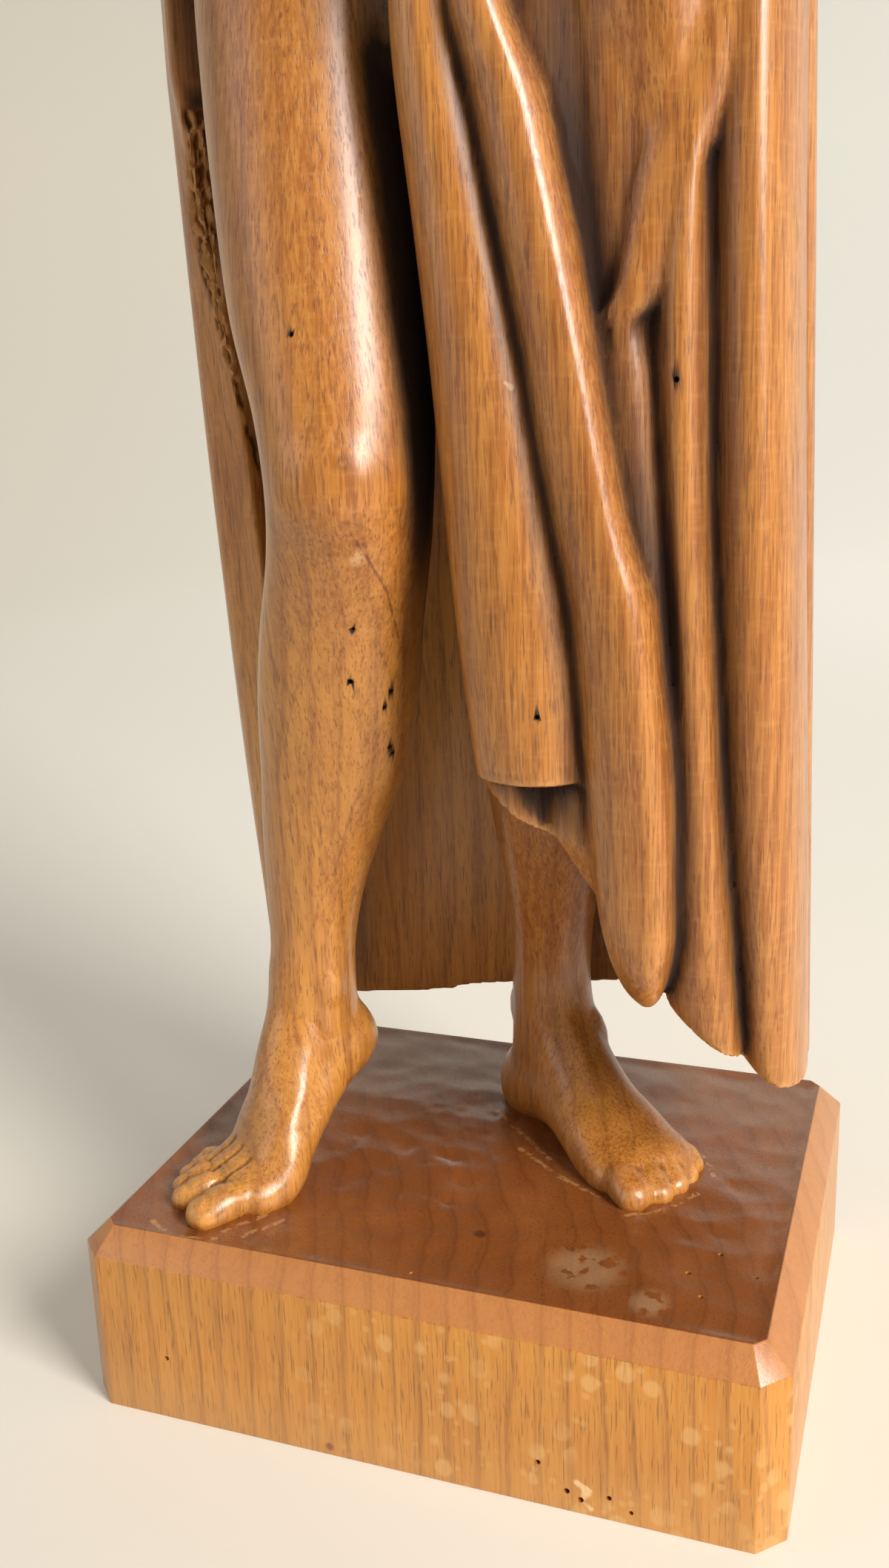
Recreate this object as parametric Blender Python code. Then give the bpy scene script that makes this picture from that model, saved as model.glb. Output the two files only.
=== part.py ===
"""A standing nude with a cloth, carved with its plinth from one upright block of wood.

The figure faces -Y. Its own right leg (towards -X) is bent, with the heel off the plinth. The left
leg carries the weight. A cloth hangs behind the legs, comes round the left hip over the forearm and
falls in front in long folds. Metres, +Z up. The origin is the middle of the plinth's underside.
"""

import math

import bmesh
import bpy
import numpy as np
from mathutils import Vector

# The plinth: a block with planed sides, clipped upright corners and a chamfer round its top.
PLINTH_WIDTH = 0.190
PLINTH_DEPTH = 0.148
PLINTH_HEIGHT = 0.053
PLINTH_CORNER = 0.0095
PLINTH_CHAMFER = 0.0065

# The figure, from the soles to the crown. Its tables below are written in units of 1/630 of this
# height, measured from the middle of the soles, which are sunk a few units into the plinth's top.
FIGURE_HEIGHT = 0.630
UNIT = FIGURE_HEIGHT / 630
FEET_SUNK = 3.0

# How finely the forms are merged, and how many triangles the finished carving keeps.
MERGE_CELL = 1.5 * UNIT
FINISHED_TRIANGLES = 9700
RING_STEP = 3.0
RING_SIDES = 28


def clear_scene():
    for obj in list(bpy.data.objects):
        bpy.data.objects.remove(obj, do_unlink=True)


def refine(rows, step):
    """Rows read off a smooth curve through the given rows, about one step apart along it."""
    rows = np.array(rows, float)
    gaps = np.linalg.norm(np.diff(rows[:, :3], axis=0), axis=1)
    at = np.concatenate([[0.0], np.cumsum(gaps)])
    slope = np.gradient(rows, at, axis=0)
    count = max(len(rows), int(at[-1] / step) + 1)
    out = []
    for t in np.linspace(0.0, at[-1], count):
        i = min(int(np.searchsorted(at, t, side="right")) - 1, len(rows) - 2)
        span = at[i + 1] - at[i]
        u = (t - at[i]) / span
        keep = 2 * u**3 - 3 * u**2 + 1
        out.append(
            keep * rows[i]
            + (1 - keep) * rows[i + 1]
            + (u**3 - 2 * u**2 + u) * span * slope[i]
            + (u**3 - u**2) * span * slope[i + 1]
        )
    return np.array(out)


def rounded(angle, squareness):
    """A point of a unit superellipse: 2 is a circle, and more is squarer."""
    power = 2 / squareness
    c, s = math.cos(angle), math.sin(angle)
    return math.copysign(abs(c) ** power, c), math.copysign(abs(s) ** power, s)


def skin(bm, rings):
    """Closes rows of points into one solid: sides between the rows and a cap at each end."""
    loops = [[bm.verts.new(Vector(p) * UNIT) for p in ring] for ring in rings]
    for low, high in zip(loops, loops[1:]):
        for i in range(len(low)):
            j = (i + 1) % len(low)
            bm.faces.new((low[i], low[j], high[j], high[i]))
    bm.faces.new(loops[0][::-1])
    bm.faces.new(loops[-1])


def upright(bm, rows, squareness=2.0, step=RING_STEP):
    """A form of level sections. Row: z, x, y, half-sizes to -X, +X, -Y and +Y, and a fall towards +X."""
    rows = [list(row) + [0.0] * (8 - len(row)) for row in rows]
    table = refine([[r[1], r[2], r[0], *r[3:]] for r in rows], step)
    rings = []
    for x, y, z, left, right, front, back, fall in table:
        ring = []
        for k in range(RING_SIDES):
            u, v = rounded(2 * math.pi * k / RING_SIDES, squareness)
            dx = u * (right if u > 0 else left)
            ring.append((x + dx, y + v * (back if v > 0 else front), z - fall * dx))
        rings.append(ring)
    if table[0][2] > table[-1][2]:
        rings.reverse()
    skin(bm, rings)


def limb(bm, rows, side=(1, 0, 0), squareness=2.0, step=RING_STEP, sides=RING_SIDES):
    """A round form along a path. Row: x, y, z, half-size along side, half-size across it."""
    table = refine(rows, step)
    path = table[:, :3]
    ahead = np.gradient(path, axis=0)
    rings = []
    for point, direction, (half, depth) in zip(path, ahead, table[:, 3:5]):
        forward = Vector(direction).normalized()
        a = Vector(side)
        a = (a - forward * a.dot(forward)).normalized()
        b = forward.cross(a)
        ring = []
        for k in range(sides):
            u, v = rounded(2 * math.pi * k / sides, squareness)
            ring.append(Vector(point) + a * (u * half) + b * (v * depth))
        rings.append(ring)
    skin(bm, rings)


def lump(bm, centre, radii, turn=0.0):
    """An egg-shaped form, turned about the upright axis by an angle in degrees."""
    ball = bmesh.ops.create_uvsphere(bm, u_segments=24, v_segments=14, radius=1.0)
    c, s = math.cos(math.radians(turn)), math.sin(math.radians(turn))
    for vert in ball["verts"]:
        x, y, z = (value * radius for value, radius in zip(vert.co, radii))
        vert.co = Vector((c * x - s * y, s * x + c * y, z)) * UNIT + Vector(centre) * UNIT


def legs(bm):
    """Both legs, from inside the hips to the ankles."""
    bent = [
        (346, -33, 4, 30, 28, 30, 34),
        (318, -36, 1, 30, 27, 31, 34),
        (290, -35, -5, 28, 27, 30, 32),
        (262, -32.5, -11, 26.5, 26.5, 28, 28),
        (235, -29.5, -17, 24.5, 25, 26, 26),
        (212, -25.5, -22, 21.5, 22.5, 24, 23),
        (194, -24.5, -24, 20, 21.5, 23, 21),
        (180, -26.5, -22, 20.5, 21.5, 20, 21),
        (160, -31, -17, 22.5, 21, 17.5, 23),
        (138, -35, -13, 23, 21, 16.5, 25),
        (118, -39, -10, 21, 19.5, 15.5, 23.5),
        (98, -43.5, -9, 17.8, 15.5, 14, 19),
        (78, -47.5, -8, 14.2, 12.5, 12.5, 15),
        (62, -49.5, -8, 12.4, 11.8, 12, 13.5),
        (50, -50, -8, 12.6, 12.2, 13, 13.5),
        (36, -50, -8, 12, 12, 13, 12),
    ]
    straight = [
        (350, 31, 6, 27, 31, 30, 34),
        (318, 32, 5, 28, 31, 31, 35),
        (290, 31, 4, 27, 31, 31, 33),
        (262, 29, 4, 25, 28, 29, 29),
        (235, 26, 5, 23, 25, 27, 26),
        (208, 23, 6, 21, 22, 25, 23),
        (186, 20, 7, 20.5, 20.5, 23.5, 21),
        (168, 18, 10, 20.5, 20.5, 20, 22),
        (148, 16, 13, 21, 22, 17.5, 25),
        (126, 16, 17, 20.5, 21.5, 16.5, 26),
        (104, 14.5, 21, 18, 18.5, 15, 23),
        (82, 13, 26, 14.5, 15, 13.5, 18),
        (62, 11.5, 30, 12, 12.2, 12.5, 14.5),
        (44, 10.5, 32, 11.6, 12, 12.5, 13),
        (28, 10.5, 32, 12, 12, 13, 13),
        (12, 10, 32, 12, 12, 13, 13),
    ]
    upright(bm, bent, 2.1)
    upright(bm, straight, 2.1)
    lump(bm, (-23.5, -38.5, 198), (15, 10, 18))
    lump(bm, (20, -8, 190), (14, 11, 16))


# The feet: where the heel's and the ball's middle are, the directions across the ball (towards the big
# toe) and ahead, how high the arch is, the bridge from the shin to the instep as rows for limb(), how
# long the toes are, and by how many degrees the small toes fan out.
RAISED_FOOT = {
    "heel": (-46, -1, 34),
    "ball": (-57.5, -36, 5.5),
    "across": (0.75, -0.66, 0),
    "heading": (-0.66, -0.75, 0),
    "arch": 4,
    "ankle": [
        (-50, -8, 60, 12, 13),
        (-50.5, -10, 46, 12, 13),
        (-53, -18, 31, 11.5, 12),
        (-56, -28, 16, 12, 8),
    ],
    "reach": 1.22,
    "fan": 10,
}
FLAT_FOOT = {
    "heel": (4, 35, 8),
    "ball": (42, 2, 5.5),
    "across": (-0.68, -0.73, 0),
    "heading": (0.73, -0.68, 0),
    "arch": 6,
    "ankle": [
        (10.5, 31, 46, 12, 12.5),
        (13, 29, 33, 12, 12.5),
        (20, 22.5, 22, 12, 12),
        (31, 12, 13, 13, 9),
    ],
    "reach": 1.0,
    "fan": 0,
}
# The toes, the big one first: distance across the ball, half-width, length, height and knuckle.
TOES = [
    (10.4, 5.5, 20.5, 5.6, 0.4),
    (2.7, 4.0, 21.0, 4.6, 1.3),
    (-4.0, 3.8, 19.0, 4.3, 1.3),
    (-9.8, 3.6, 16.0, 4.0, 1.2),
    (-14.8, 3.5, 12.0, 3.8, 1.0),
]


def foot(bm, form):
    """Heel, instep and ball as one form, and a bridge that leads the shin into the instep."""
    heel, ball, across, heading = (Vector(form[name]) for name in ("heel", "ball", "across", "heading"))
    back = (heel - ball).normalized()
    up = Vector((0, 0, 1))
    arch = form["arch"]
    sole = [
        (*(heel + back * 9 + up * 3), 5, 5),
        (*(heel + back * 5 + up * 3), 10, 10),
        (*(heel + up * 2), 12.2, 12.5),
        (*(heel.lerp(ball, 0.25) + up * (3 + arch * 0.3)), 12, 12),
        (*(heel.lerp(ball, 0.5) + up * (3 + arch * 0.5)), 13, 11.5),
        (*(heel.lerp(ball, 0.75) + up * (2 + arch * 0.3)), 15.5, 10),
        (*ball, 17, 8.5),
        (*(ball + heading * 8), 16.5, 7),
        (*(ball + heading * 13), 13, 4.5),
    ]
    limb(bm, sole, side=across, squareness=2.3, step=1.5)
    limb(bm, form["ankle"], side=across)


def toe_row(bm, form):
    """Five toes in front of the ball of a foot, each with a raised knuckle."""
    across, heading = Vector(form["across"]), Vector(form["heading"])
    ground = Vector((form["ball"][0], form["ball"][1], 0))
    up = Vector((0, 0, 1))
    for offset, half, length, height, knuckle in TOES:
        fan = math.radians(form["fan"] if offset < TOES[0][0] else 0)
        ahead = heading * math.cos(fan) - across * math.sin(fan)
        line = ground + across * offset
        tip = length * form["reach"] - half
        rows = [
            (*(line + ahead * 4 + up * (height + 0.6)), half * 0.85, height * 0.9),
            (*(line + ahead * (tip * 0.42) + up * (height + 0.5)), half * 0.84, height * 0.88),
            (*(line + ahead * (tip * 0.68) + up * (height + knuckle)), half * 0.96, height * 0.96),
            (*(line + ahead * tip + up * (height - 0.8)), half, height * 0.86),
            (*(line + ahead * (tip + half * 0.7) + up * (height - 1.5)), half * 0.8, height * 0.66),
            (*(line + ahead * (tip + half) + up * (height - 1.9)), half * 0.3, height * 0.3),
        ]
        limb(bm, rows, side=across, step=1.6, sides=14)


def torso(bm):
    """Hips, waist, chest and shoulders as one form, and the softer masses laid on it."""
    trunk = [
        (290, 2, 5, 50, 50, 24, 32, -0.04),
        (304, 2, 5, 59, 59, 29, 38, -0.06),
        (322, 3, 5, 62, 62, 31, 40, -0.08),
        (342, 3, 5, 60, 60, 32, 38, -0.08),
        (362, 3, 4, 54, 54, 32, 32, -0.08),
        (382, 2, 3, 47, 47, 30, 28, -0.05),
        (400, 1, 2, 43.5, 43.5, 28.5, 27, 0),
        (418, 0, 2, 45.5, 45.5, 29, 29, 0.03),
        (438, -1, 3, 49.5, 49.5, 30, 32, 0.05),
        (458, -2, 4, 54, 54, 30, 34, 0.06),
        (476, -2, 5, 59, 59, 28, 34, 0.07),
        (492, -2, 6, 63, 63, 24, 32, 0.08),
        (504, -2, 7, 58, 58, 20, 28, 0.08),
        (513, -2, 7, 46, 46, 17, 23, 0.05),
        (521, -1, 6, 34, 34, 15, 20),
        (530, 0, 5, 24, 24, 14.5, 17),
        (539, 0, 4, 18, 18, 14, 15),
    ]
    upright(bm, trunk, 2.35)
    for side, x, z in ((-1, -28, 457), (1, 24, 454)):
        lump(bm, (x, -15, z), (21.5, 18.5, 20.5), side * 12)
        lump(bm, (x - side, -9, z + 9), (20.5, 17, 23), side * 12)
        lump(bm, (2 + side * 27, 26, 309), (28, 25, 31))
    lump(bm, (3, -11, 344), (40, 22, 46))


# The head is turned a little to the figure's right, about its upright axis, in degrees.
HEAD_TURN = -14.0


def head(bm):
    """The neck, the skull, the face's main mass, the jaw and the chin."""
    limb(
        bm,
        [(0, 8, 510, 24, 20), (0, 6, 526, 19, 17), (1, 3, 541, 16, 16), (2, 2, 562, 15.5, 16)],
    )
    lump(bm, (2, 5, 598), (28, 33, 31), HEAD_TURN)
    lump(bm, (0, -5, 583), (24, 25, 32), HEAD_TURN)
    lump(bm, (-1, -8, 567), (19.5, 19, 16), HEAD_TURN)
    lump(bm, (-4.5, -19, 558), (10, 9, 9), HEAD_TURN)


def arms(bm):
    """The right hand holds the cloth at the hip. The left forearm carries it across the hip."""
    right = [
        (-40, 7, 496, 14, 16),
        (-53, 7, 494, 17, 18),
        (-63, 8, 487, 16.5, 18),
        (-70, 10, 472, 14.2, 16.5),
        (-75, 12, 452, 12.8, 15),
        (-80, 15, 430, 11.8, 13),
        (-83, 17, 410, 11.2, 12),
        (-83.5, 18, 402, 11.5, 12.5),
        (-82, 10, 392, 11.8, 12.5),
        (-79.5, 1, 381, 10.8, 11),
        (-77, -7, 369, 8.8, 9.5),
        (-76, -10, 361, 8.2, 9.5),
    ]
    left = [
        (36, 7, 490, 14, 16),
        (49, 7, 488, 17, 18),
        (59, 8, 481, 16.5, 18),
        (66, 10, 466, 14.2, 16.5),
        (71, 12, 448, 12.8, 15),
        (75, 15, 426, 11.8, 13),
        (76, 14, 408, 11.5, 12),
        (74, 6, 394, 12, 12.5),
        (66, -9, 382, 12, 12),
        (55, -24, 372, 10.5, 11),
        (45, -34, 363, 9, 9),
        (39, -38, 358, 9, 8.5),
    ]
    limb(bm, right)
    limb(bm, left, side=(0, 0, 1))


def hand(bm, palm, radii, fingers, thumb):
    """A palm, four fingers given by their knuckles, bends and tips, and a thumb."""
    lump(bm, palm, radii)
    for knuckle, bend, tip in fingers:
        limb(bm, [(*knuckle, 3.6, 3.8), (*bend, 3.7, 3.8), (*tip, 3.2, 3.2)], sides=12, step=2.0)
    start, middle, tip = thumb
    limb(bm, [(*start, 4.4, 4.4), (*middle, 4.1, 4.3), (*tip, 3.3, 3.3)], sides=12, step=2.0)


def face_and_hands(bm):
    """The parts with fine forms: the face's features, the hair, and both hands closed on the cloth."""
    turn = math.radians(HEAD_TURN)
    ahead = Vector((math.sin(turn), -math.cos(turn), 0))
    across = Vector((math.cos(turn), math.sin(turn), 0))
    centre = Vector((1, 0, 0))

    def at(sideways, forward, height):
        return centre + across * sideways + ahead * forward + Vector((0, 0, height))

    limb(
        bm,
        [
            (*at(0, 25, 597), 3.0, 3.2),
            (*at(0, 28.5, 588), 2.8, 3.6),
            (*at(0, 31.5, 580), 3.4, 4.2),
            (*at(0, 30.5, 575), 4.6, 3.6),
            (*at(0, 27, 572), 4.0, 2.5),
        ],
        side=tuple(across),
        sides=14,
        step=1.5,
    )
    for sign in (-1, 1):
        lump(bm, at(sign * 10.5, 21.5, 589), (5.6, 4.6, 3.4), HEAD_TURN - sign * 16)
        lump(bm, at(sign * 13, 15.5, 574), (9, 10, 9), HEAD_TURN)
        limb(
            bm,
            [
                (*at(sign * 3.5, 25.5, 595.5), 1.9, 1.7),
                (*at(sign * 10.5, 25, 598), 2.2, 1.9),
                (*at(sign * 18, 18.5, 595.5), 1.7, 1.5),
            ],
            side=(0, 0, 1),
            sides=12,
            step=1.5,
        )
        lump(bm, at(sign * 24, -1, 583), (3.4, 6.5, 9), HEAD_TURN)
    lump(bm, at(0, 26.0, 566.3), (7.6, 4.0, 2.3), HEAD_TURN)
    lump(bm, at(0, 25.2, 562.2), (6.4, 4.0, 2.5), HEAD_TURN)
    lump(bm, at(0, 23.0, 553.5), (6.5, 6.0, 6.0), HEAD_TURN)
    hair(bm, at)
    hand(
        bm,
        (-76, -11, 352),
        (8.5, 11, 13),
        [
            ((-73, -22, 357), (-67, -23, 351), (-66, -16, 346)),
            ((-75, -21, 350), (-69, -22, 344), (-68, -15, 339)),
            ((-77, -19, 344), (-71, -20, 337), (-70, -13, 333)),
            ((-79, -16, 338), (-74, -16, 331), (-72, -10, 328)),
        ],
        ((-68, -13, 361), (-63, -17, 356), (-61, -20, 349)),
    )
    hand(
        bm,
        (30, -41, 350),
        (14, 8, 12),
        [
            ((20, -47, 356), (13, -48, 350), (12, -44, 342)),
            ((22, -49, 350), (15, -50, 343), (14, -46, 335)),
            ((25, -50, 344), (18, -51, 337), (17, -47, 329)),
            ((29, -49, 338), (22, -50, 332), (21, -46, 325)),
        ],
        ((29, -41, 361), (20, -43, 362), (13, -44, 358)),
    )


def hair(bm, at):
    """Waved hair, parted in the middle and drawn back into a knot."""
    for sign in (-1, 1):
        for k in range(6):
            lift = k / 5
            crown = 617 + 10 * math.sin(math.pi * (0.25 + lift * 0.5))
            start = at(sign * (2 + 1.5 * lift), 19 - 24 * lift, crown)
            temple = at(sign * (25.5 + 2.0 * math.sin(math.pi * lift)), 10 - 20 * lift, 598 + 8 * lift)
            wave = start.lerp(temple, 0.5) + at(sign * 6, 0, 7) - at(0, 0, 0)
            rows = [
                (*start, 5.0, 4.2),
                (*wave, 5.2, 5.0),
                (*temple, 4.6, 4.6),
                (*at(sign * 27, -2 - 16 * lift, 590 + 7 * lift), 4.8, 4.4),
                (*at(sign * 12, -30, 588 + 9 * lift), 5.2, 5.0),
            ]
            limb(bm, rows, side=(0, 0, 1), sides=12, step=2.5)
    lump(bm, at(0, -36, 592), (15, 12.5, 13), HEAD_TURN)
    for k in range(3):
        ring = []
        for j in range(17):
            angle = 2 * math.pi * j / 16 + k * 0.5
            radius = 13.5 - k * 4
            height = 592 + radius * 0.88 * math.sin(angle)
            ring.append((*at(radius * math.cos(angle), -38 - k * 3.2, height), 3.2, 3.2))
        limb(bm, ring, side=tuple(at(0, 1, 0) - at(0, 0, 0)), sides=10, step=2.5)


def body():
    bm = bmesh.new()
    legs(bm)
    foot(bm, RAISED_FOOT)
    foot(bm, FLAT_FOOT)
    torso(bm)
    arms(bm)
    head(bm)
    return bm


# The cloth, as a sheet round the legs: its outer face's plan at three heights, from the front fold's
# free edge round the left side and the back to the free edge at the right side.
# Row: x and y high up, at the knees and at the hem, then the hem's and the upper edge's height, then
# the thickness high up and at the hem.
CLOTH = [
    (4, -30, 8, -31, 15, -31, 121.5, 335, 13, 8),
    (22, -34, 26, -33, 33, -32, 110, 345, 13, 8),
    (31, -34, 35, -33, 40.5, -31, 108, 348, 13, 8),
    (43, -34, 46, -32, 49, -29, 82, 352, 13, 8),
    (59, -27, 61, -25, 64, -22, 62, 368, 13, 8),
    (74, -18, 76, -16, 79, -14, 50, 385, 13, 8),
    (81, -6, 83.5, -4, 87, -2, 44, 395, 13, 8),
    (79.5, 18, 82, 20, 86, 22, 40, 385, 13, 8),
    (72, 42, 74, 43, 77, 44, 37, 365, 13, 8),
    (52, 56, 53, 57, 54, 58, 36, 345, 13, 8),
    (26, 60, 26, 61, 26, 62, 37, 333, 13, 8),
    (0, 61, 0, 62, 0, 63, 32, 328, 13, 8),
    (-28, 60, -28, 61, -28, 62, 26.5, 330, 13, 8),
    (-58, 56, -58, 58, -55, 58, 25, 337, 13, 8),
    (-82, 46, -83, 47, -73, 49, 26, 345, 13, 7),
    (-91, 31, -92, 34, -81, 35, 34, 352, 13, 6),
    (-88, 16, -87, 21, -78, 24, 44, 352, 12, 4),
    (-81, 4, -70, 11, -71, 15, 52, 350, 11, 3),
]
PLAN_HEIGHTS = (300, 195, 35)
FLUTE_COUNT = 17
FLUTE_DEPTH = 4.0


def cloth_sheet(bm):
    """The hanging sheet, fluted outside, as one bent slab."""
    rows = [(r[2], r[3], 0.0, *r) for r in CLOTH]
    table = refine(rows, 3.0)[:, 3:]
    levels = 60
    share = np.linspace(0.0, 1.0, len(table))
    wander = share + 0.012 * np.sin(2 * math.pi * 3.3 * share)
    high, knee, low = PLAN_HEIGHTS
    outer, inner = [], []
    for level in range(levels):
        t = level / (levels - 1)
        z = table[:, 6] + (table[:, 7] - table[:, 6]) * t
        w = np.clip(z, low, high)
        to_high = (w - low) * (w - knee) / ((high - low) * (high - knee))
        to_knee = (w - low) * (w - high) / ((knee - low) * (knee - high))
        to_low = 1 - to_high - to_knee
        x = to_high * table[:, 0] + to_knee * table[:, 2] + to_low * table[:, 4]
        y = to_high * table[:, 1] + to_knee * table[:, 3] + to_low * table[:, 5]
        dx, dy = np.gradient(x), np.gradient(y)
        length = np.hypot(dx, dy)
        nx, ny = dy / length, -dx / length
        flute = np.abs(np.sin(math.pi * (FLUTE_COUNT * wander + 0.35 * t * np.sin(9 * share))))
        calm = np.clip((1 - share) / 0.14, 0, 1)
        depth = FLUTE_DEPTH * calm * (1 - 0.45 * t) * (flute - 0.6)
        thick = table[:, 9] + (table[:, 8] - table[:, 9]) * t
        outer.append(np.stack([x + nx * depth, y + ny * depth, z], -1))
        inner.append(np.stack([x - nx * thick, y - ny * thick, z], -1))
    rings = [list(map(tuple, o)) + list(map(tuple, i[::-1])) for o, i in zip(outer, inner)]
    skin(bm, rings)


def front_folds(bm):
    """The long folds that fall from the left hand and forearm, and the lip of the pocket between them."""
    first = [
        (345, 8, -30, 11, 7, 10, 12),
        (299, 4, -31, 9.5, 8.5, 10.5, 12),
        (252, 10.5, -31, 12, 10.5, 11, 12),
        (226, 14.5, -31, 13.5, 12, 11.5, 12),
        (200, 17.5, -31, 14.5, 13.5, 12, 12),
        (173, 20.5, -31, 15.5, 14.2, 12, 12),
        (145, 23.5, -31, 15.8, 14.5, 12, 12),
        (126, 25, -31, 15, 13.5, 11.5, 12),
    ]
    second = [
        (345, 17, -32, 8, 6, 10, 12),
        (296, 18.5, -33, 10, 5.5, 11, 12),
        (280, 24, -33, 11, 6.5, 11, 12),
        (261, 28.5, -33, 12, 6.5, 11, 12),
        (243, 32.5, -33, 12.5, 6.4, 11, 12),
        (224, 36.5, -33, 13, 6.2, 11, 12),
        (205, 40.4, -33, 14, 5.9, 11, 12),
        (185, 44.6, -33, 14, 5.9, 11, 12),
        (171, 48.6, -33, 15, 6.2, 11, 12),
        (155, 51, -33, 15.5, 6.2, 11, 12),
        (137, 53, -33, 16, 6.2, 11, 12),
        (118, 54.4, -32, 16, 6, 10.5, 12),
        (100, 54.8, -32, 15, 5.8, 10, 12),
        (85, 55, -32, 12.5, 5, 9.5, 10),
        (77, 54.4, -32, 9, 4, 8, 9),
        (72, 53.5, -32, 5, 3.5, 5.5, 7),
        (69, 53.5, -32, 1.5, 1.5, 3, 4),
    ]
    band = [
        (232, 47, -28, 6, 4.4, 7, 10),
        (224, 47.5, -28, 7, 5.6, 7.8, 10),
        (205, 49, -28, 7, 5.7, 7.8, 10),
        (185, 51.2, -28, 6, 5, 7.4, 10),
        (172, 53.6, -28, 5, 3.6, 6.8, 10),
        (160, 55.6, -28, 3.5, 2.3, 6, 10),
        (148, 57, -28, 2, 1.5, 4, 8),
    ]
    third = [
        (284, 65, -26, 0.8, 0.8, 6, 10),
        (272, 63.4, -26, 2.2, 1.4, 8.5, 10),
        (259, 61.4, -26, 3.8, 3.2, 9.8, 10),
        (243, 60, -26, 5.8, 5.3, 10, 10),
        (224, 59.6, -26, 6.4, 6.2, 9.8, 10),
        (204, 60.4, -26, 6, 5.9, 9.5, 10),
        (185, 61.2, -26, 5.6, 5.5, 9.5, 10),
        (162, 62.8, -26, 5.8, 5.4, 9.5, 10),
        (125, 65, -25.5, 8, 5.6, 9.5, 10, 0.2),
        (93, 66.4, -25, 10, 6.8, 9, 10, 0.4),
        (59, 68, -23, 12, 7.6, 8, 9, 0.75),
    ]
    corner = [
        (378, 73.8, -10, 10, 8, 20, 16),
        (330, 73.2, -10, 10.5, 8.6, 22, 18),
        (280, 73.4, -10, 11, 9, 23, 18),
        (230, 74.8, -10, 11.2, 9, 23, 18),
        (170, 77, -10, 11.2, 9, 23, 18),
        (110, 79.4, -9, 10.6, 9, 22, 18, 0.2),
        (48, 82.5, -8, 8.5, 8, 18, 16, 0.6),
    ]
    hip = [
        (352, 42, -20, 24, 30, 22, 16),
        (320, 46, -20, 24, 26, 20, 16),
        (293, 49.5, -20, 24, 19, 17, 16),
        (275, 51.5, -20, 20, 12.8, 14.5, 14),
        (258, 51.5, -20, 16, 8, 11.5, 12),
        (243, 49.5, -20, 10, 5, 8.5, 10),
        (233, 48.5, -20, 5, 3, 6.5, 8),
    ]
    for rows in (first, second, band, third, corner, hip):
        upright(bm, rows, 2.0)
    pocket_lip = [
        (72, -30, 303, 2.4, 2.8),
        (69, -32.5, 292, 2.6, 3),
        (64.4, -34, 276, 2.7, 3.2),
        (59.4, -35, 259, 2.8, 3.4),
        (54, -35.5, 243, 3, 3.6),
        (49.6, -35, 234, 3, 3.6),
        (44.5, -34, 230.5, 2.6, 3),
        (41, -32, 230, 1.8, 2.4),
    ]
    limb(bm, pocket_lip, step=1.5, sides=14)


def rim(bm):
    """The bunched upper edge of the cloth, from the left hand over the forearm and round the back."""
    rows = []
    for r in CLOTH[2:]:
        reach = math.hypot(r[0], r[1])
        rows.append((r[0] * (1 - 5 / reach), r[1] * (1 - 5 / reach), r[7] - 1, 8.0, 7.0))
    limb(bm, rows, side=(0, 0, 1), sides=18)


def cloth():
    bm = bmesh.new()
    cloth_sheet(bm)
    front_folds(bm)
    rim(bm)
    return bm


def helper(name, bm):
    """A form that only lends its shape to the carving."""
    bmesh.ops.recalc_face_normals(bm, faces=bm.faces)
    mesh = bpy.data.meshes.new(name)
    bm.to_mesh(mesh)
    bm.free()
    obj = bpy.data.objects.new(name, mesh)
    bpy.context.scene.collection.objects.link(obj)
    obj.hide_render = True
    obj.display_type = "WIRE"
    return obj


def merge(obj, cell, passes):
    """Fuses a helper's overlapping forms into one skin and softens where they meet."""
    remesh = obj.modifiers.new("fuse", "REMESH")
    remesh.mode = "VOXEL"
    remesh.voxel_size = cell
    if passes:
        smooth = obj.modifiers.new("soften", "SMOOTH")
        smooth.factor = 0.5
        smooth.iterations = passes
    return obj


def evaluated(obj):
    graph = bpy.context.evaluated_depsgraph_get()
    return bpy.data.meshes.new_from_object(obj.evaluated_get(graph))


def plinth():
    """The block, with its upright corners clipped and its top chamfered."""
    bm = bmesh.new()
    half_w, half_d, clip = PLINTH_WIDTH / 2, PLINTH_DEPTH / 2, PLINTH_CORNER
    plan = []
    for sx, sy, first in ((1, -1, 0), (1, 1, 1), (-1, 1, 0), (-1, -1, 1)):
        ends = [(sx * (half_w - clip), sy * half_d), (sx * half_w, sy * (half_d - clip))]
        plan += ends[::-1] if first else ends
    base = bm.faces.new([bm.verts.new((x, y, 0)) for x, y in plan])
    grown = bmesh.ops.extrude_face_region(bm, geom=[base])
    risen = [v for v in grown["geom"] if isinstance(v, bmesh.types.BMVert)]
    bmesh.ops.translate(bm, verts=risen, vec=(0, 0, PLINTH_HEIGHT))
    rim_edges = [e for e in bm.edges if all(v.co.z > PLINTH_HEIGHT / 2 for v in e.verts)]
    bmesh.ops.bevel(bm, geom=rim_edges, offset=PLINTH_CHAMFER, segments=1, affect="EDGES")
    return helper("plinth_form", bm)


def wood():
    """Oiled light hardwood."""
    material = bpy.data.materials.new("oiled_wood")
    material.use_nodes = True
    shader = material.node_tree.nodes["Principled BSDF"]
    shader.inputs["Base Color"].default_value = (0.42, 0.19, 0.065, 1)
    shader.inputs["Roughness"].default_value = 0.42
    shader.inputs["Metallic"].default_value = 0.0
    return material


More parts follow.
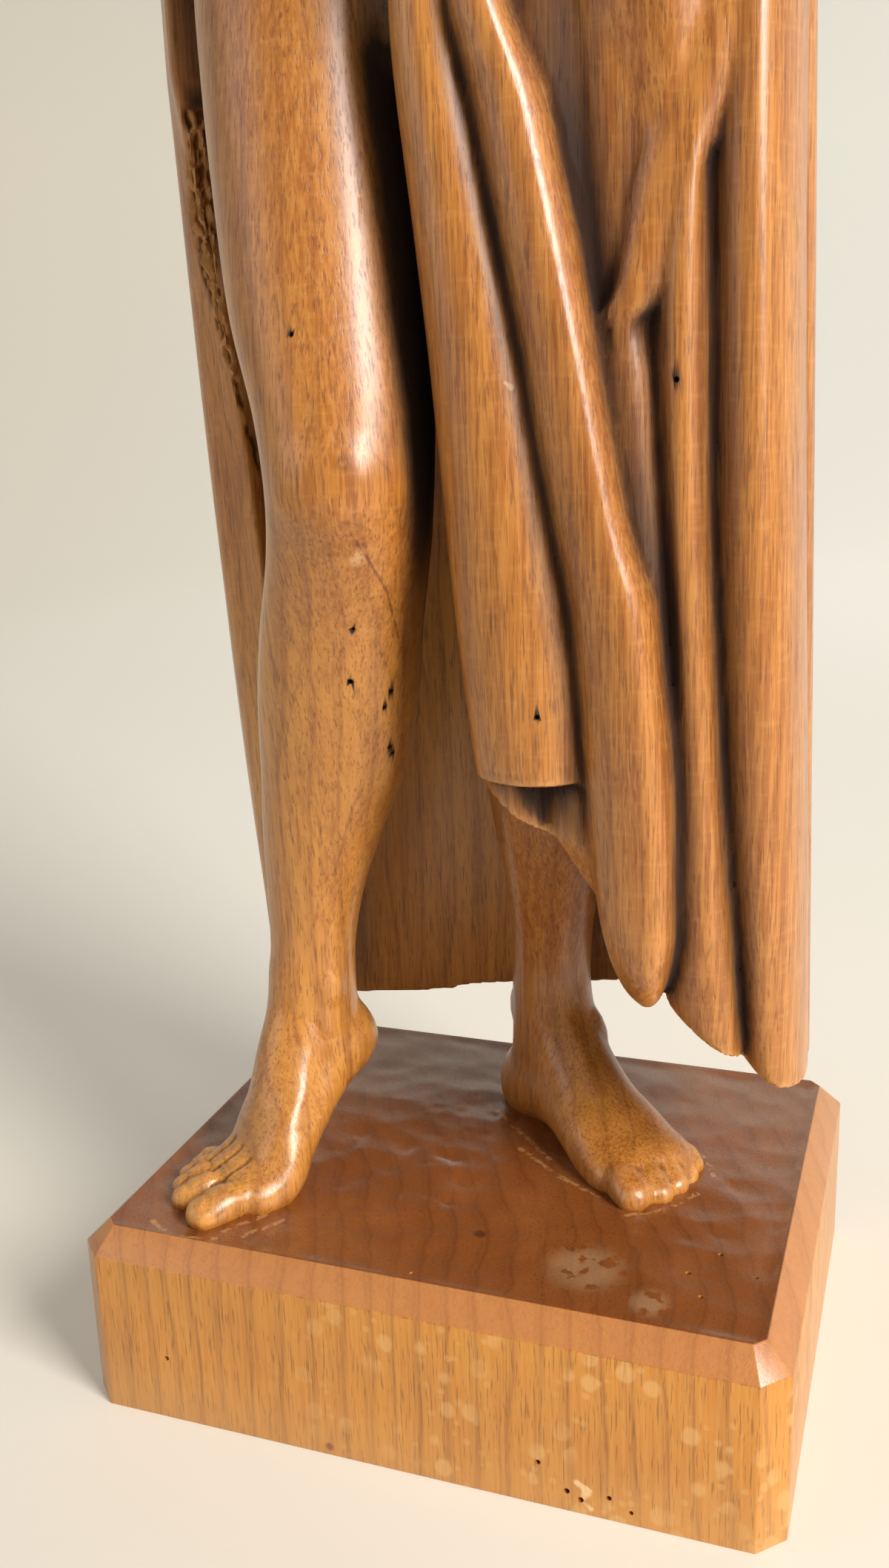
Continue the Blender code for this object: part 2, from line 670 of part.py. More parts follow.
def carving():
    """Joins the softened body, the fine forms and the cloth into one skin, and adds the plinth to it."""
    soft_body = merge(helper("body_form", body()), MERGE_CELL, 24)
    fine = bmesh.new()
    toe_row(fine, RAISED_FOOT)
    toe_row(fine, FLAT_FOOT)
    face_and_hands(fine)
    fine_forms = merge(helper("fine_form", fine), MERGE_CELL * 0.6, 3)
    crisp_cloth = merge(helper("cloth_form", cloth()), MERGE_CELL, 1)
    bpy.context.view_layer.update()

    bm = bmesh.new()
    for source in (soft_body, fine_forms, crisp_cloth):
        mesh = evaluated(source)
        bm.from_mesh(mesh)
        bpy.data.meshes.remove(mesh)
    mesh = bpy.data.meshes.new("nude_on_plinth")
    bm.to_mesh(mesh)
    bm.free()
    statue = bpy.data.objects.new("nude_on_plinth", mesh)
    bpy.context.scene.collection.objects.link(statue)
    statue.location.z = PLINTH_HEIGHT - FEET_SUNK * UNIT
    merge(statue, MERGE_CELL, 1)
    bpy.context.view_layer.update()
    dense = evaluated(statue)
    share = FINISHED_TRIANGLES / (2 * len(dense.polygons))
    bpy.data.meshes.remove(dense)
    thin = statue.modifiers.new("thin", "DECIMATE")
    thin.ratio = min(1.0, share)
    union = statue.modifiers.new("on_plinth", "BOOLEAN")
    union.operation = "UNION"
    union.solver = "EXACT"
    union.object = plinth()
    statue.data.materials.append(wood())
    return statue


clear_scene()
carving()
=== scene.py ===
import math

import bmesh
import bpy
import numpy as np
from mathutils import Matrix, Vector, kdtree, noise
from mathutils.bvhtree import BVHTree


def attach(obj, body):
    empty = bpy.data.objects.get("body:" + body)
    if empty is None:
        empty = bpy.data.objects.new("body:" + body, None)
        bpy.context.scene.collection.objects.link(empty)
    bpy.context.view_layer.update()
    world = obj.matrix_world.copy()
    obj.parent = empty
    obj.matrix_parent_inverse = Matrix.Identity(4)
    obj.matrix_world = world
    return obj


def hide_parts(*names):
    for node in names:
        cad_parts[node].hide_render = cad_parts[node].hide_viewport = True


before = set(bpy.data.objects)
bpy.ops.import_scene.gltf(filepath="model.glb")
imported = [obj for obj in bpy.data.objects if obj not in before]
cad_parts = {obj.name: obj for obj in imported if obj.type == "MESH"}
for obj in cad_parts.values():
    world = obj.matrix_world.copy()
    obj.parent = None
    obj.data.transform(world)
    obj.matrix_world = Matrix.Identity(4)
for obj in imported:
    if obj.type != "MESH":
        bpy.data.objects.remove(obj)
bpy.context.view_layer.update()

# The plinth is the foot of the same block of wood. Its sides are sawn and planed square, its upright
# corners are clipped, and a chamfer is planed round its top. The top was levelled with a flat gouge.
MM = 0.001
PLINTH_WIDTH = 190 * MM
PLINTH_DEPTH = 148 * MM
PLINTH_HEIGHT = 53 * MM
CLIPPED_CORNER = 9.5 * MM
CHAMFER = 6.5 * MM
EASED = 0.35 * MM
GRID = 1.6 * MM
bpy.ops.object.select_all(action="DESELECT")
bpy.ops.mesh.primitive_cube_add(size=1, location=(0, 0, PLINTH_HEIGHT / 2))
plinth = bpy.context.object
plinth.name = "plinth"
plinth.scale = (PLINTH_WIDTH, PLINTH_DEPTH, PLINTH_HEIGHT)
bpy.ops.object.transform_apply(location=True, rotation=False, scale=True)


def choose_edges(piece, wanted):
    """Selects, in edit mode, the edges of which both ends are wanted."""
    bpy.ops.mesh.select_mode(type="EDGE")
    bpy.ops.mesh.select_all(action="DESELECT")
    shape = bmesh.from_edit_mesh(piece.data)
    for edge in shape.edges:
        edge.select_set(wanted(edge))
    bmesh.update_edit_mesh(piece.data)


bpy.ops.object.mode_set(mode="EDIT")
choose_edges(plinth, lambda e: abs(e.verts[0].co.z - e.verts[1].co.z) > 0.04)
bpy.ops.mesh.bevel(offset=CLIPPED_CORNER, offset_type="WIDTH", segments=1, affect="EDGES")
choose_edges(plinth, lambda e: min(v.co.z for v in e.verts) > PLINTH_HEIGHT - 0.0001)
bpy.ops.mesh.bevel(offset=CHAMFER, segments=1, affect="EDGES")
choose_edges(plinth, lambda e: len(e.link_faces) == 2 and e.calc_face_angle() > 0.5)
bpy.ops.mesh.bevel(offset=EASED, segments=2, affect="EDGES")
# The top is cut into a fine grid, on which each gouge cut below can sink or rise.
for axis, reach in (((1, 0, 0), PLINTH_WIDTH / 2), ((0, 1, 0), PLINTH_DEPTH / 2)):
    for step in range(int(-reach / GRID) + 1, int(reach / GRID)):
        bpy.ops.mesh.select_mode(type="FACE")
        bpy.ops.mesh.select_all(action="DESELECT")
        block = bmesh.from_edit_mesh(plinth.data)
        for face in block.faces:
            face.select_set(face.normal.z > 0.99)
        bmesh.update_edit_mesh(plinth.data)
        cut = step * GRID + 0.3 * MM * math.sin(step * 1.7)
        bpy.ops.mesh.bisect(plane_co=tuple(cut * a for a in axis), plane_no=axis)
bpy.ops.object.mode_set(mode="OBJECT")
GOUGE_LENGTH, GOUGE_WIDTH = 16 * MM, 11 * MM
WORKED_X, WORKED_Y, WORKED_RADIUS = 20 * MM, -10 * MM, 35 * MM
for vert in plinth.data.vertices:
    x, y, z = vert.co
    if z > PLINTH_HEIGHT - 0.05 * MM:
        inside = min(PLINTH_WIDTH / 2 - CHAMFER - abs(x), PLINTH_DEPTH / 2 - CHAMFER - abs(y))
        level = min(1.0, max(0.0, inside / (3 * MM)))
        away = noise.voronoi(Vector((x / GOUGE_LENGTH + 0.4 * math.sin(y * 90), y / GOUGE_WIDTH, 0.4)))[0]
        sweep = noise.noise(Vector((x * 30, y * 30, 2.7)))
        chip = max(0.0, noise.noise(Vector((x * 190, y * 190, 5.1))) - 0.25)
        ring = abs(math.hypot(x - WORKED_X, y - WORKED_Y) - WORKED_RADIUS)
        worked = max(0.0, 1 - ring / (40 * MM))
        vert.co.z -= level * MM * (0.5 + 0.9 * (0.55 - away[0]) + 0.45 * sweep + 1.6 * chip * worked)

# The legs are the roundest part of the carving. Her right leg is bent and rests on the ball of its
# foot. The left one is straight and carries the weight. Both are cut free of the cloth behind them.
GROUND = 50


def fair(rows, step):
    """Rows read off a smooth curve through the given rows, about one step apart."""
    rows = np.array(rows, float)
    at = np.concatenate([[0.0], np.cumsum(np.linalg.norm(np.diff(rows[:, :3], axis=0), axis=1))])
    slope = np.gradient(rows, at, axis=0)
    out = []
    for t in np.linspace(0.0, at[-1], max(len(rows), int(at[-1] / step) + 1)):
        i = min(int(np.searchsorted(at, t, side="right")) - 1, len(rows) - 2)
        span = at[i + 1] - at[i]
        u = (t - at[i]) / span
        keep = 2 * u**3 - 3 * u**2 + 1
        turn_in = (u**3 - 2 * u**2 + u) * span
        turn_out = (u**3 - u**2) * span
        out.append(keep * rows[i] + (1 - keep) * rows[i + 1] + turn_in * slope[i] + turn_out * slope[i + 1])
    return np.array(out)


def squircle(angle, squareness):
    """A point on a ring between round (2) and square (more)."""
    power = 2 / squareness
    c, s = math.cos(angle), math.sin(angle)
    return math.copysign(abs(c) ** power, c), math.copysign(abs(s) ** power, s)


def closed_form(name, rings):
    """A solid through rows of points in millimetres, with a face over each end."""
    count = len(rings[0])
    points = [(p[0] * MM, p[1] * MM, (p[2] + GROUND) * MM) for ring in rings for p in ring]
    faces = []
    for r in range(len(rings) - 1):
        for k in range(count):
            a, b = r * count + k, r * count + (k + 1) % count
            faces.append((a, b, b + count, a + count))
    faces.append(tuple(range(count))[::-1])
    faces.append(tuple(range((len(rings) - 1) * count, len(rings) * count)))
    mesh = bpy.data.meshes.new(name)
    mesh.from_pydata(points, [], faces)
    form = bpy.data.objects.new(name, mesh)
    bpy.context.scene.collection.objects.link(form)
    return form


def upright(name, rows, squareness=2.0, step=2.5, sides=36):
    """Level sections. Row: z, x, y, half-sizes to -X, +X, -Y and +Y, and a fall towards +X."""
    rows = [list(row) + [0.0] * (8 - len(row)) for row in rows]
    rings = []
    for x, y, z, left, right, front, back, fall in fair([[r[1], r[2], r[0], *r[3:]] for r in rows], step):
        ring = []
        for k in range(sides):
            u, v = squircle(2 * math.pi * k / sides, squareness)
            dx = u * (right if u > 0 else left)
            ring.append((x + dx, y + v * (back if v > 0 else front), z - fall * dx))
        rings.append(ring)
    return closed_form(name, rings)


def limb(name, rows, side=(1, 0, 0), squareness=2.0, step=2.5, sides=32):
    """A round form along a path. Row: x, y, z, half-size along side, half-size across it."""
    table = fair(rows, step)
    rings = []
    for point, ahead, (half, depth) in zip(table[:, :3], np.gradient(table[:, :3], axis=0), table[:, 3:5]):
        forward = Vector(ahead).normalized()
        a = Vector(side)
        a = (a - forward * a.dot(forward)).normalized()
        b = forward.cross(a)
        corners = [squircle(2 * math.pi * k / sides, squareness) for k in range(sides)]
        rings.append([Vector(point) + a * (u * half) + b * (v * depth) for u, v in corners])
    return closed_form(name, rings)


def swell(name, centre, radii, turn=0.0):
    """An egg-shaped mass laid on a form, turned about the upright axis by degrees."""
    x, y, z = centre
    bpy.ops.mesh.primitive_uv_sphere_add(
        segments=36,
        ring_count=20,
        radius=1,
        location=(x * MM, y * MM, (z + GROUND) * MM),
        rotation=(0, 0, math.radians(turn)),
    )
    mass = bpy.context.object
    mass.name = name
    mass.scale = tuple(r * MM for r in radii)
    return mass


bent_leg = upright(
    "bent_leg",
    [
        (346, -33, 4, 30, 28, 30, 34),
        (318, -36, 1, 30, 27, 31, 34),
        (290, -35, -5, 28, 27, 30, 32),
        (262, -32.5, -11, 26.5, 26.5, 28, 28),
        (235, -29.5, -17, 24.5, 25, 26, 26),
        (212, -25.5, -22, 21.5, 22.5, 24, 23),
        (194, -24.5, -24, 20, 21.5, 23, 21),
        (180, -26.5, -22, 20.5, 21.5, 20, 21),
        (160, -31, -17, 22.5, 21, 17.5, 23),
        (138, -35, -13, 23, 21, 16.5, 25),
        (118, -39, -10, 21, 19.5, 15.5, 23.5),
        (98, -43.5, -9, 17.8, 15.5, 14, 19),
        (78, -47.5, -8, 14.2, 12.5, 12.5, 15),
        (62, -49.5, -8, 12.4, 11.8, 12, 13.5),
        (50, -50, -8, 12.6, 12.2, 13, 13.5),
        (36, -50, -8, 12, 12, 13, 12),
    ],
    2.1,
)
straight_leg = upright(
    "straight_leg",
    [
        (350, 31, 6, 27, 31, 30, 34),
        (318, 32, 5, 28, 31, 31, 35),
        (290, 31, 4, 27, 31, 31, 33),
        (262, 29, 4, 25, 28, 29, 29),
        (235, 26, 5, 23, 25, 27, 26),
        (208, 23, 6, 21, 22, 25, 23),
        (186, 20, 7, 20.5, 20.5, 23.5, 21),
        (168, 18, 10, 20.5, 20.5, 20, 22),
        (148, 16, 13, 21, 22, 17.5, 25),
        (126, 16, 17, 20.5, 21.5, 16.5, 26),
        (104, 14.5, 21, 18, 18.5, 15, 23),
        (82, 13, 26, 14.5, 15, 13.5, 18),
        (62, 11.5, 30, 12, 12.2, 12.5, 14.5),
        (44, 10.5, 32, 11.6, 12, 12.5, 13),
        (28, 10.5, 32, 12, 12, 13, 13),
        (12, 10, 32, 12, 12, 13, 13),
    ],
    2.1,
)
body_forms = [
    bent_leg,
    straight_leg,
    swell("bent_kneecap", (-23.5, -38.5, 198), (15, 10, 18)),
    swell("straight_kneecap", (20, -8, 190), (14, 11, 16)),
]

# The feet are worked out of the plinth with small gouges. The left one is flat. The bent leg's stands
# on its ball and toes, with the heel raised. Heel, ankle and instep flow into the leg.
fine_forms = []


def carve_foot(name, heel, ball, arch, ankle, across, heading, reach, spread):
    """Heel, instep and ball in one form, a bridge to the shin, and five toes with raised knuckles."""
    heel, ball, across, heading = Vector(heel), Vector(ball), Vector(across), Vector(heading)
    back = (heel - ball).normalized()
    up = Vector((0, 0, 1))
    sole = [
        (*(heel + back * 9 + up * 3), 5, 5),
        (*(heel + back * 5 + up * 3), 10, 10),
        (*(heel + up * 2), 12.2, 12.5),
        (*(heel.lerp(ball, 0.25) + up * (3 + arch * 0.3)), 12, 12),
        (*(heel.lerp(ball, 0.5) + up * (3 + arch * 0.5)), 13, 11.5),
        (*(heel.lerp(ball, 0.75) + up * (2 + arch * 0.3)), 15.5, 10),
        (*ball, 17, 8.5),
        (*(ball + heading * 8), 16.5, 7),
        (*(ball + heading * 13), 13, 4.5),
    ]
    body_forms.append(limb(name, sole, side=across, squareness=2.3, step=1.5))
    body_forms.append(limb(name + "_ankle", ankle, side=across))
    ground = Vector((ball.x, ball.y, 0))
    for offset, half, length, height, knuckle in TOES:
        fan = math.radians(spread if offset < 10 else 0)
        ahead = heading * math.cos(fan) - across * math.sin(fan)
        line = ground + across * offset
        tip = length * reach - half
        toe = [
            (*(line + ahead * 4 + up * (height + 0.6)), half * 0.85, height * 0.9),
            (*(line + ahead * (tip * 0.42) + up * (height + 0.5)), half * 0.84, height * 0.88),
            (*(line + ahead * (tip * 0.68) + up * (height + knuckle)), half * 0.96, height * 0.96),
            (*(line + ahead * tip + up * (height - 0.8)), half, height * 0.86),
            (*(line + ahead * (tip + half * 0.7) + up * (height - 1.5)), half * 0.8, height * 0.66),
            (*(line + ahead * (tip + half) + up * (height - 1.9)), half * 0.3, height * 0.3),
        ]
        fine_forms.append(limb(name + "_toe", toe, side=across, step=1.0, sides=18))


# The toes, the big one first: distance across the ball, half-width, length, height and knuckle.
TOES = [
    (10.4, 5.5, 20.5, 5.6, 0.4),
    (2.7, 4.0, 21.0, 4.6, 1.3),
    (-4.0, 3.8, 19.0, 4.3, 1.3),
    (-9.8, 3.6, 16.0, 4.0, 1.2),
    (-14.8, 3.5, 12.0, 3.8, 1.0),
]
RAISED_ACROSS, RAISED_HEADING, RAISED_BALL = (0.75, -0.66, 0), (-0.66, -0.75, 0), (-57.5, -36, 5.5)
FLAT_ACROSS, FLAT_HEADING, FLAT_BALL = (-0.68, -0.73, 0), (0.73, -0.68, 0), (42, 2, 5.5)
RAISED_REACH, RAISED_SPREAD = 1.22, 10
FLAT_REACH, FLAT_SPREAD = 1.0, 0
carve_foot(
    "raised_foot",
    (-46, -1, 34),
    RAISED_BALL,
    4,
    [(-50, -8, 60, 12, 13), (-50.5, -10, 46, 12, 13), (-53, -18, 31, 11.5, 12), (-56, -28, 16, 12, 8)],
    RAISED_ACROSS,
    RAISED_HEADING,
    RAISED_REACH,
    RAISED_SPREAD,
)
carve_foot(
    "flat_foot",
    (4, 35, 8),
    FLAT_BALL,
    6,
    [(10.5, 31, 46, 12, 12.5), (13, 29, 33, 12, 12.5), (20, 22.5, 22, 12, 12), (31, 12, 13, 13, 9)],
    FLAT_ACROSS,
    FLAT_HEADING,
    FLAT_REACH,
    FLAT_SPREAD,
)

# The trunk is one slow curve over the weight-bearing leg, with the hips tipped one way and the
# shoulders the other. Belly, breasts and seat are low round masses blended into it.
body_forms.append(
    upright(
        "trunk",
        [
            (290, 2, 5, 50, 50, 24, 32, -0.04),
            (304, 2, 5, 59, 59, 29, 38, -0.06),
            (322, 3, 5, 62, 62, 31, 40, -0.08),
            (342, 3, 5, 60, 60, 32, 38, -0.08),
            (362, 3, 4, 54, 54, 32, 32, -0.08),
            (382, 2, 3, 47, 47, 30, 28, -0.05),
            (400, 1, 2, 43.5, 43.5, 28.5, 27, 0),
            (418, 0, 2, 45.5, 45.5, 29, 29, 0.03),
            (438, -1, 3, 49.5, 49.5, 30, 32, 0.05),
            (458, -2, 4, 54, 54, 30, 34, 0.06),
            (476, -2, 5, 59, 59, 28, 34, 0.07),
            (492, -2, 6, 63, 63, 24, 32, 0.08),
            (504, -2, 7, 58, 58, 20, 28, 0.08),
            (513, -2, 7, 46, 46, 17, 23, 0.05),
            (521, -1, 6, 34, 34, 15, 20),
            (530, 0, 5, 24, 24, 14.5, 17),
            (539, 0, 4, 18, 18, 14, 15),
        ],
        2.35,
    )
)
for side, x, z in ((-1, -28, 457), (1, 24, 454)):
    body_forms.append(swell("breast", (x, -15, z), (21.5, 18.5, 20.5), side * 12))
    body_forms.append(swell("upper_breast", (x - side, -9, z + 9), (20.5, 17, 23), side * 12))
    body_forms.append(swell("seat", (2 + side * 27, 26, 309), (28, 25, 31)))
body_forms.append(swell("belly", (3, -11, 344), (40, 22, 46)))

# The arms come down to the hips. The right hand holds the cloth's edge there, and the left forearm
# crosses the hip with the cloth over it, its hand closed on the gathered folds.
body_forms.append(
    limb(
        "right_arm",
        [
            (-40, 7, 496, 14, 16),
            (-53, 7, 494, 17, 18),
            (-63, 8, 487, 16.5, 18),
            (-70, 10, 472, 14.2, 16.5),
            (-75, 12, 452, 12.8, 15),
            (-80, 15, 430, 11.8, 13),
            (-83, 17, 410, 11.2, 12),
            (-83.5, 18, 402, 11.5, 12.5),
            (-82, 10, 392, 11.8, 12.5),
            (-79.5, 1, 381, 10.8, 11),
            (-77, -7, 369, 8.8, 9.5),
            (-76, -10, 361, 8.2, 9.5),
        ],
    )
)
body_forms.append(
    limb(
        "left_arm",
        [
            (36, 7, 490, 14, 16),
            (49, 7, 488, 17, 18),
            (59, 8, 481, 16.5, 18),
            (66, 10, 466, 14.2, 16.5),
            (71, 12, 448, 12.8, 15),
            (75, 15, 426, 11.8, 13),
            (76, 14, 408, 11.5, 12),
            (74, 6, 394, 12, 12.5),
            (66, -9, 382, 12, 12),
            (55, -24, 372, 10.5, 11),
            (45, -34, 363, 9, 9),
            (39, -38, 358, 9, 8.5),
        ],
        side=(0, 0, 1),
    )
)

# The head is turned a little over the bent leg. Its face is plain and regular. The hair is cut in
# broad waves from a middle parting and drawn back into a knot.
body_forms.append(
    limb("neck", [(0, 8, 510, 24, 20), (0, 6, 526, 19, 17), (1, 3, 541, 16, 16), (2, 2, 562, 15.5, 16)])
)
HEAD_TURN = -14
body_forms += [
    swell("skull", (2, 5, 598), (28, 33, 31), HEAD_TURN),
    swell("face", (0, -5, 583), (24, 25, 32), HEAD_TURN),
    swell("jaw", (-1, -8, 567), (19.5, 19, 16), HEAD_TURN),
    swell("chin", (-4.5, -19, 558), (10, 9, 9), HEAD_TURN),
]
turn = math.radians(HEAD_TURN)
FACE_AHEAD = Vector((math.sin(turn), -math.cos(turn), 0))
FACE_ACROSS = Vector((math.cos(turn), math.sin(turn), 0))


def on_head(across, ahead, height):
    """A place on the head: across it, ahead of its middle, and its height."""
    return Vector((1, 0, 0)) + FACE_ACROSS * across + FACE_AHEAD * ahead + Vector((0, 0, height))


def along_head(name, flank, rows, **how):
    """A thin form on a flank of the head. Row: across, ahead, height, half-width and half-depth."""
    rows = [(*on_head(flank * across, ahead, height), w, d) for across, ahead, height, w, d in rows]
    fine_forms.append(limb(name, rows, **how))


NOSE = [
    (0, 25, 597, 3.0, 3.2),
    (0, 28.5, 588, 2.8, 3.6),
    (0, 31.5, 580, 3.4, 4.2),
    (0, 30.5, 575, 4.6, 3.6),
    (0, 27, 572, 4, 2.5),
]
UPPER_LID = [(5, 24.0, 588.2), (8, 25.6, 590.4), (11, 25.6, 591.2), (14, 23.8, 590.2), (17, 20.6, 587.4)]
LOWER_LID = [(6, 24.0, 587.0), (9, 25.2, 586.0), (12, 24.8, 585.9), (15, 22.6, 586.6)]
BROW = [(3.5, 25.5, 595.5, 1.9, 1.7), (10.5, 25, 598, 2.2, 1.9), (18, 18.5, 595.5, 1.7, 1.5)]
HAIR_CREST, HAIR_RISE = 616.5, 10
along_head("nose", 1, NOSE, side=FACE_ACROSS, sides=20, step=1)
for side in (-1, 1):
    body_forms.append(swell("cheek", on_head(side * 13, 15.5, 578), (9, 9.5, 9), HEAD_TURN))
    for lid in (UPPER_LID, LOWER_LID):
        along_head("eyelid", side, [(*row, 0.9, 1.1) for row in lid], side=(0, 0, 1), sides=10, step=1)
    along_head("brow", side, BROW, side=(0, 0, 1), sides=14, step=1)
    fine_forms += [
        swell("eye", on_head(side * 10.5, 21.5, 589), (5.6, 4.6, 3.4), HEAD_TURN - side * 16),
        swell("ear", on_head(side * 24, -1, 583), (3.4, 6.5, 9), HEAD_TURN),
    ]
fine_forms += [
    swell("upper_lip", on_head(0, 26.0, 566.3), (7.6, 4.0, 2.3), HEAD_TURN),
    swell("lower_lip", on_head(0, 25.2, 562.2), (6.4, 4.0, 2.5), HEAD_TURN),
    swell("chin_front", on_head(0, 23.0, 553.5), (6.5, 6.0, 6.0), HEAD_TURN),
    swell("hair_knot", on_head(0, -36, 592), (15, 12.5, 13), HEAD_TURN),
]
for side in (-1, 1):
    for k in range(6):
        lift = k / 5
        crest = HAIR_CREST + HAIR_RISE * math.sin(math.pi * (0.25 + lift * 0.5))
        start = on_head(side * (1.5 * lift - 0.6), 19 - 24 * lift, crest)
        low = on_head(side * (25.5 + 2.0 * math.sin(math.pi * lift)), 10 - 20 * lift, 598 + 8 * lift)
        middle = start.lerp(low, 0.5) + FACE_ACROSS * (side * 6) + Vector((1, 0, 7))
        lock = [
            (*start, 5.0, 4.2),
            (*middle, 5.2, 5.0),
            (*low, 4.6, 4.6),
            (*on_head(side * 27, -2 - 16 * lift, 590 + 7 * lift), 4.8, 4.4),
            (*on_head(side * 12, -30, 588 + 9 * lift), 5.2, 5.0),
        ]
        fine_forms.append(limb("lock", lock, side=(0, 0, 1), sides=16, step=2))
for k in range(3):
    radius = 13.5 - k * 4
    angles = [2 * math.pi * j / 16 + k * 0.5 for j in range(17)]
    back = -38 - k * 3.2
    coil = [(radius * math.cos(a), back, 592 + radius * 0.88 * math.sin(a), 3.2, 3.2) for a in angles]
    along_head("knot_coil", 1, coil, side=FACE_AHEAD * -1, sides=12, step=2)


def carve_hand(name, palm, radii, fingers, thumb):
    """A closed hand: the palm, then each finger from knuckle over its bend to the tip."""
    fine_forms.append(swell(name, palm, radii))
    for knuckle, bend, tip in fingers:
        rows = [(*knuckle, 3.6, 3.8), (*bend, 3.7, 3.8), (*tip, 3.2, 3.2)]
        fine_forms.append(limb(name + "_finger", rows, sides=16, step=1.5))
    rows = [(*thumb[0], 4.4, 4.4), (*thumb[1], 4.1, 4.3), (*thumb[2], 3.3, 3.3)]
    fine_forms.append(limb(name + "_thumb", rows, sides=16, step=1.5))


carve_hand(
    "right_hand",
    (-76, -11, 352),
    (8.5, 11, 13),
    [
        ((-73, -22, 357), (-67, -23, 351), (-66, -16, 346)),
        ((-75, -21, 350), (-69, -22, 344), (-68, -15, 339)),
        ((-77, -19, 344), (-71, -20, 337), (-70, -13, 333)),
        ((-79, -16, 338), (-74, -16, 331), (-72, -10, 328)),
    ],
    ((-68, -13, 361), (-63, -17, 356), (-61, -20, 349)),
)
carve_hand(
    "left_hand",
    (30, -41, 350),
    (14, 8, 12),
    [
        ((20, -47, 356), (13, -48, 350), (12, -44, 342)),
        ((22, -49, 350), (15, -50, 343), (14, -46, 335)),
        ((25, -50, 344), (18, -51, 337), (17, -47, 329)),
        ((29, -49, 338), (22, -50, 332), (21, -46, 325)),
    ],
    ((29, -41, 361), (20, -43, 362), (13, -44, 358)),
)

# The cloth hangs behind the legs and wraps the left hip. It is cut as a thick shell with shallow
# upright flutes, hollowed behind, and its edge beside the right thigh is left rough from the gouge.
# Row: x and y high up, at the knees and at the hem, then hem and upper edge, then the thicknesses.
CLOTH = [
    (4, -30, 8, -31, 15, -31, 121.5, 335, 13, 8),
    (22, -34, 26, -33, 33, -32, 110, 345, 13, 8),
    (31, -34, 35, -33, 40.5, -31, 108, 348, 13, 8),
    (43, -34, 46, -32, 49, -29, 82, 352, 13, 8),
    (59, -27, 61, -25, 64, -22, 62, 368, 13, 8),
    (74, -18, 76, -16, 79, -14, 50, 385, 13, 8),
    (81, -6, 83.5, -4, 87, -2, 44, 395, 13, 8),
    (79.5, 18, 82, 20, 86, 22, 40, 385, 13, 8),
    (72, 42, 74, 43, 77, 44, 37, 365, 13, 8),
    (52, 56, 53, 57, 54, 58, 36, 345, 13, 8),
    (26, 60, 26, 61, 26, 62, 37, 333, 13, 8),
    (0, 61, 0, 62, 0, 63, 32, 328, 13, 8),
    (-28, 60, -28, 61, -28, 62, 26.5, 330, 13, 8),
    (-58, 56, -58, 58, -55, 58, 25, 337, 13, 8),
    (-82, 46, -83, 47, -73, 49, 26, 345, 13, 7),
    (-91, 31, -92, 34, -81, 35, 34, 352, 13, 6),
    (-88, 16, -87, 21, -78, 24, 44, 352, 12, 4),
    (-81, 4, -70, 11, -71, 15, 52, 350, 11, 3),
]
HIGH, KNEE, LOW = 300, 195, 35
FLUTES = 17
plan = fair([(r[2], r[3], 0.0, *r) for r in CLOTH], 2.0)[:, 3:]
share = np.linspace(0.0, 1.0, len(plan))
wander = share + 0.012 * np.sin(2 * math.pi * 3.3 * share)
shell = []
for t in np.linspace(0.0, 1.0, 110):
    z = plan[:, 6] + (plan[:, 7] - plan[:, 6]) * t
    w = np.clip(z, LOW, HIGH)
    to_high = (w - LOW) * (w - KNEE) / ((HIGH - LOW) * (HIGH - KNEE))
    to_knee = (w - LOW) * (w - HIGH) / ((KNEE - LOW) * (KNEE - HIGH))
    to_low = 1 - to_high - to_knee
    x = to_high * plan[:, 0] + to_knee * plan[:, 2] + to_low * plan[:, 4]
    y = to_high * plan[:, 1] + to_knee * plan[:, 3] + to_low * plan[:, 5]
    dx, dy = np.gradient(x), np.gradient(y)
    nx, ny = dy / np.hypot(dx, dy), -dx / np.hypot(dx, dy)
    flute = np.abs(np.sin(math.pi * (FLUTES * wander + 0.35 * t * np.sin(9 * share))))
    calm = np.clip((1 - share) / 0.14, 0, 1)
    depth = 4.0 * calm * (1 - 0.45 * t) * (flute - 0.6)
    inner_wave = 1.1 * np.sin(math.pi * (11 * share + 0.8 * t)) * (1 - t)
    thick = plan[:, 9] + (plan[:, 8] - plan[:, 9]) * t + inner_wave * calm
    outer = np.stack([x + nx * depth, y + ny * depth, z], -1)
    inner = np.stack([x - nx * thick, y - ny * thick, z], -1)
    shell.append([*outer, *inner[::-1]])
cloth_forms = [closed_form("cloth_shell", shell)]

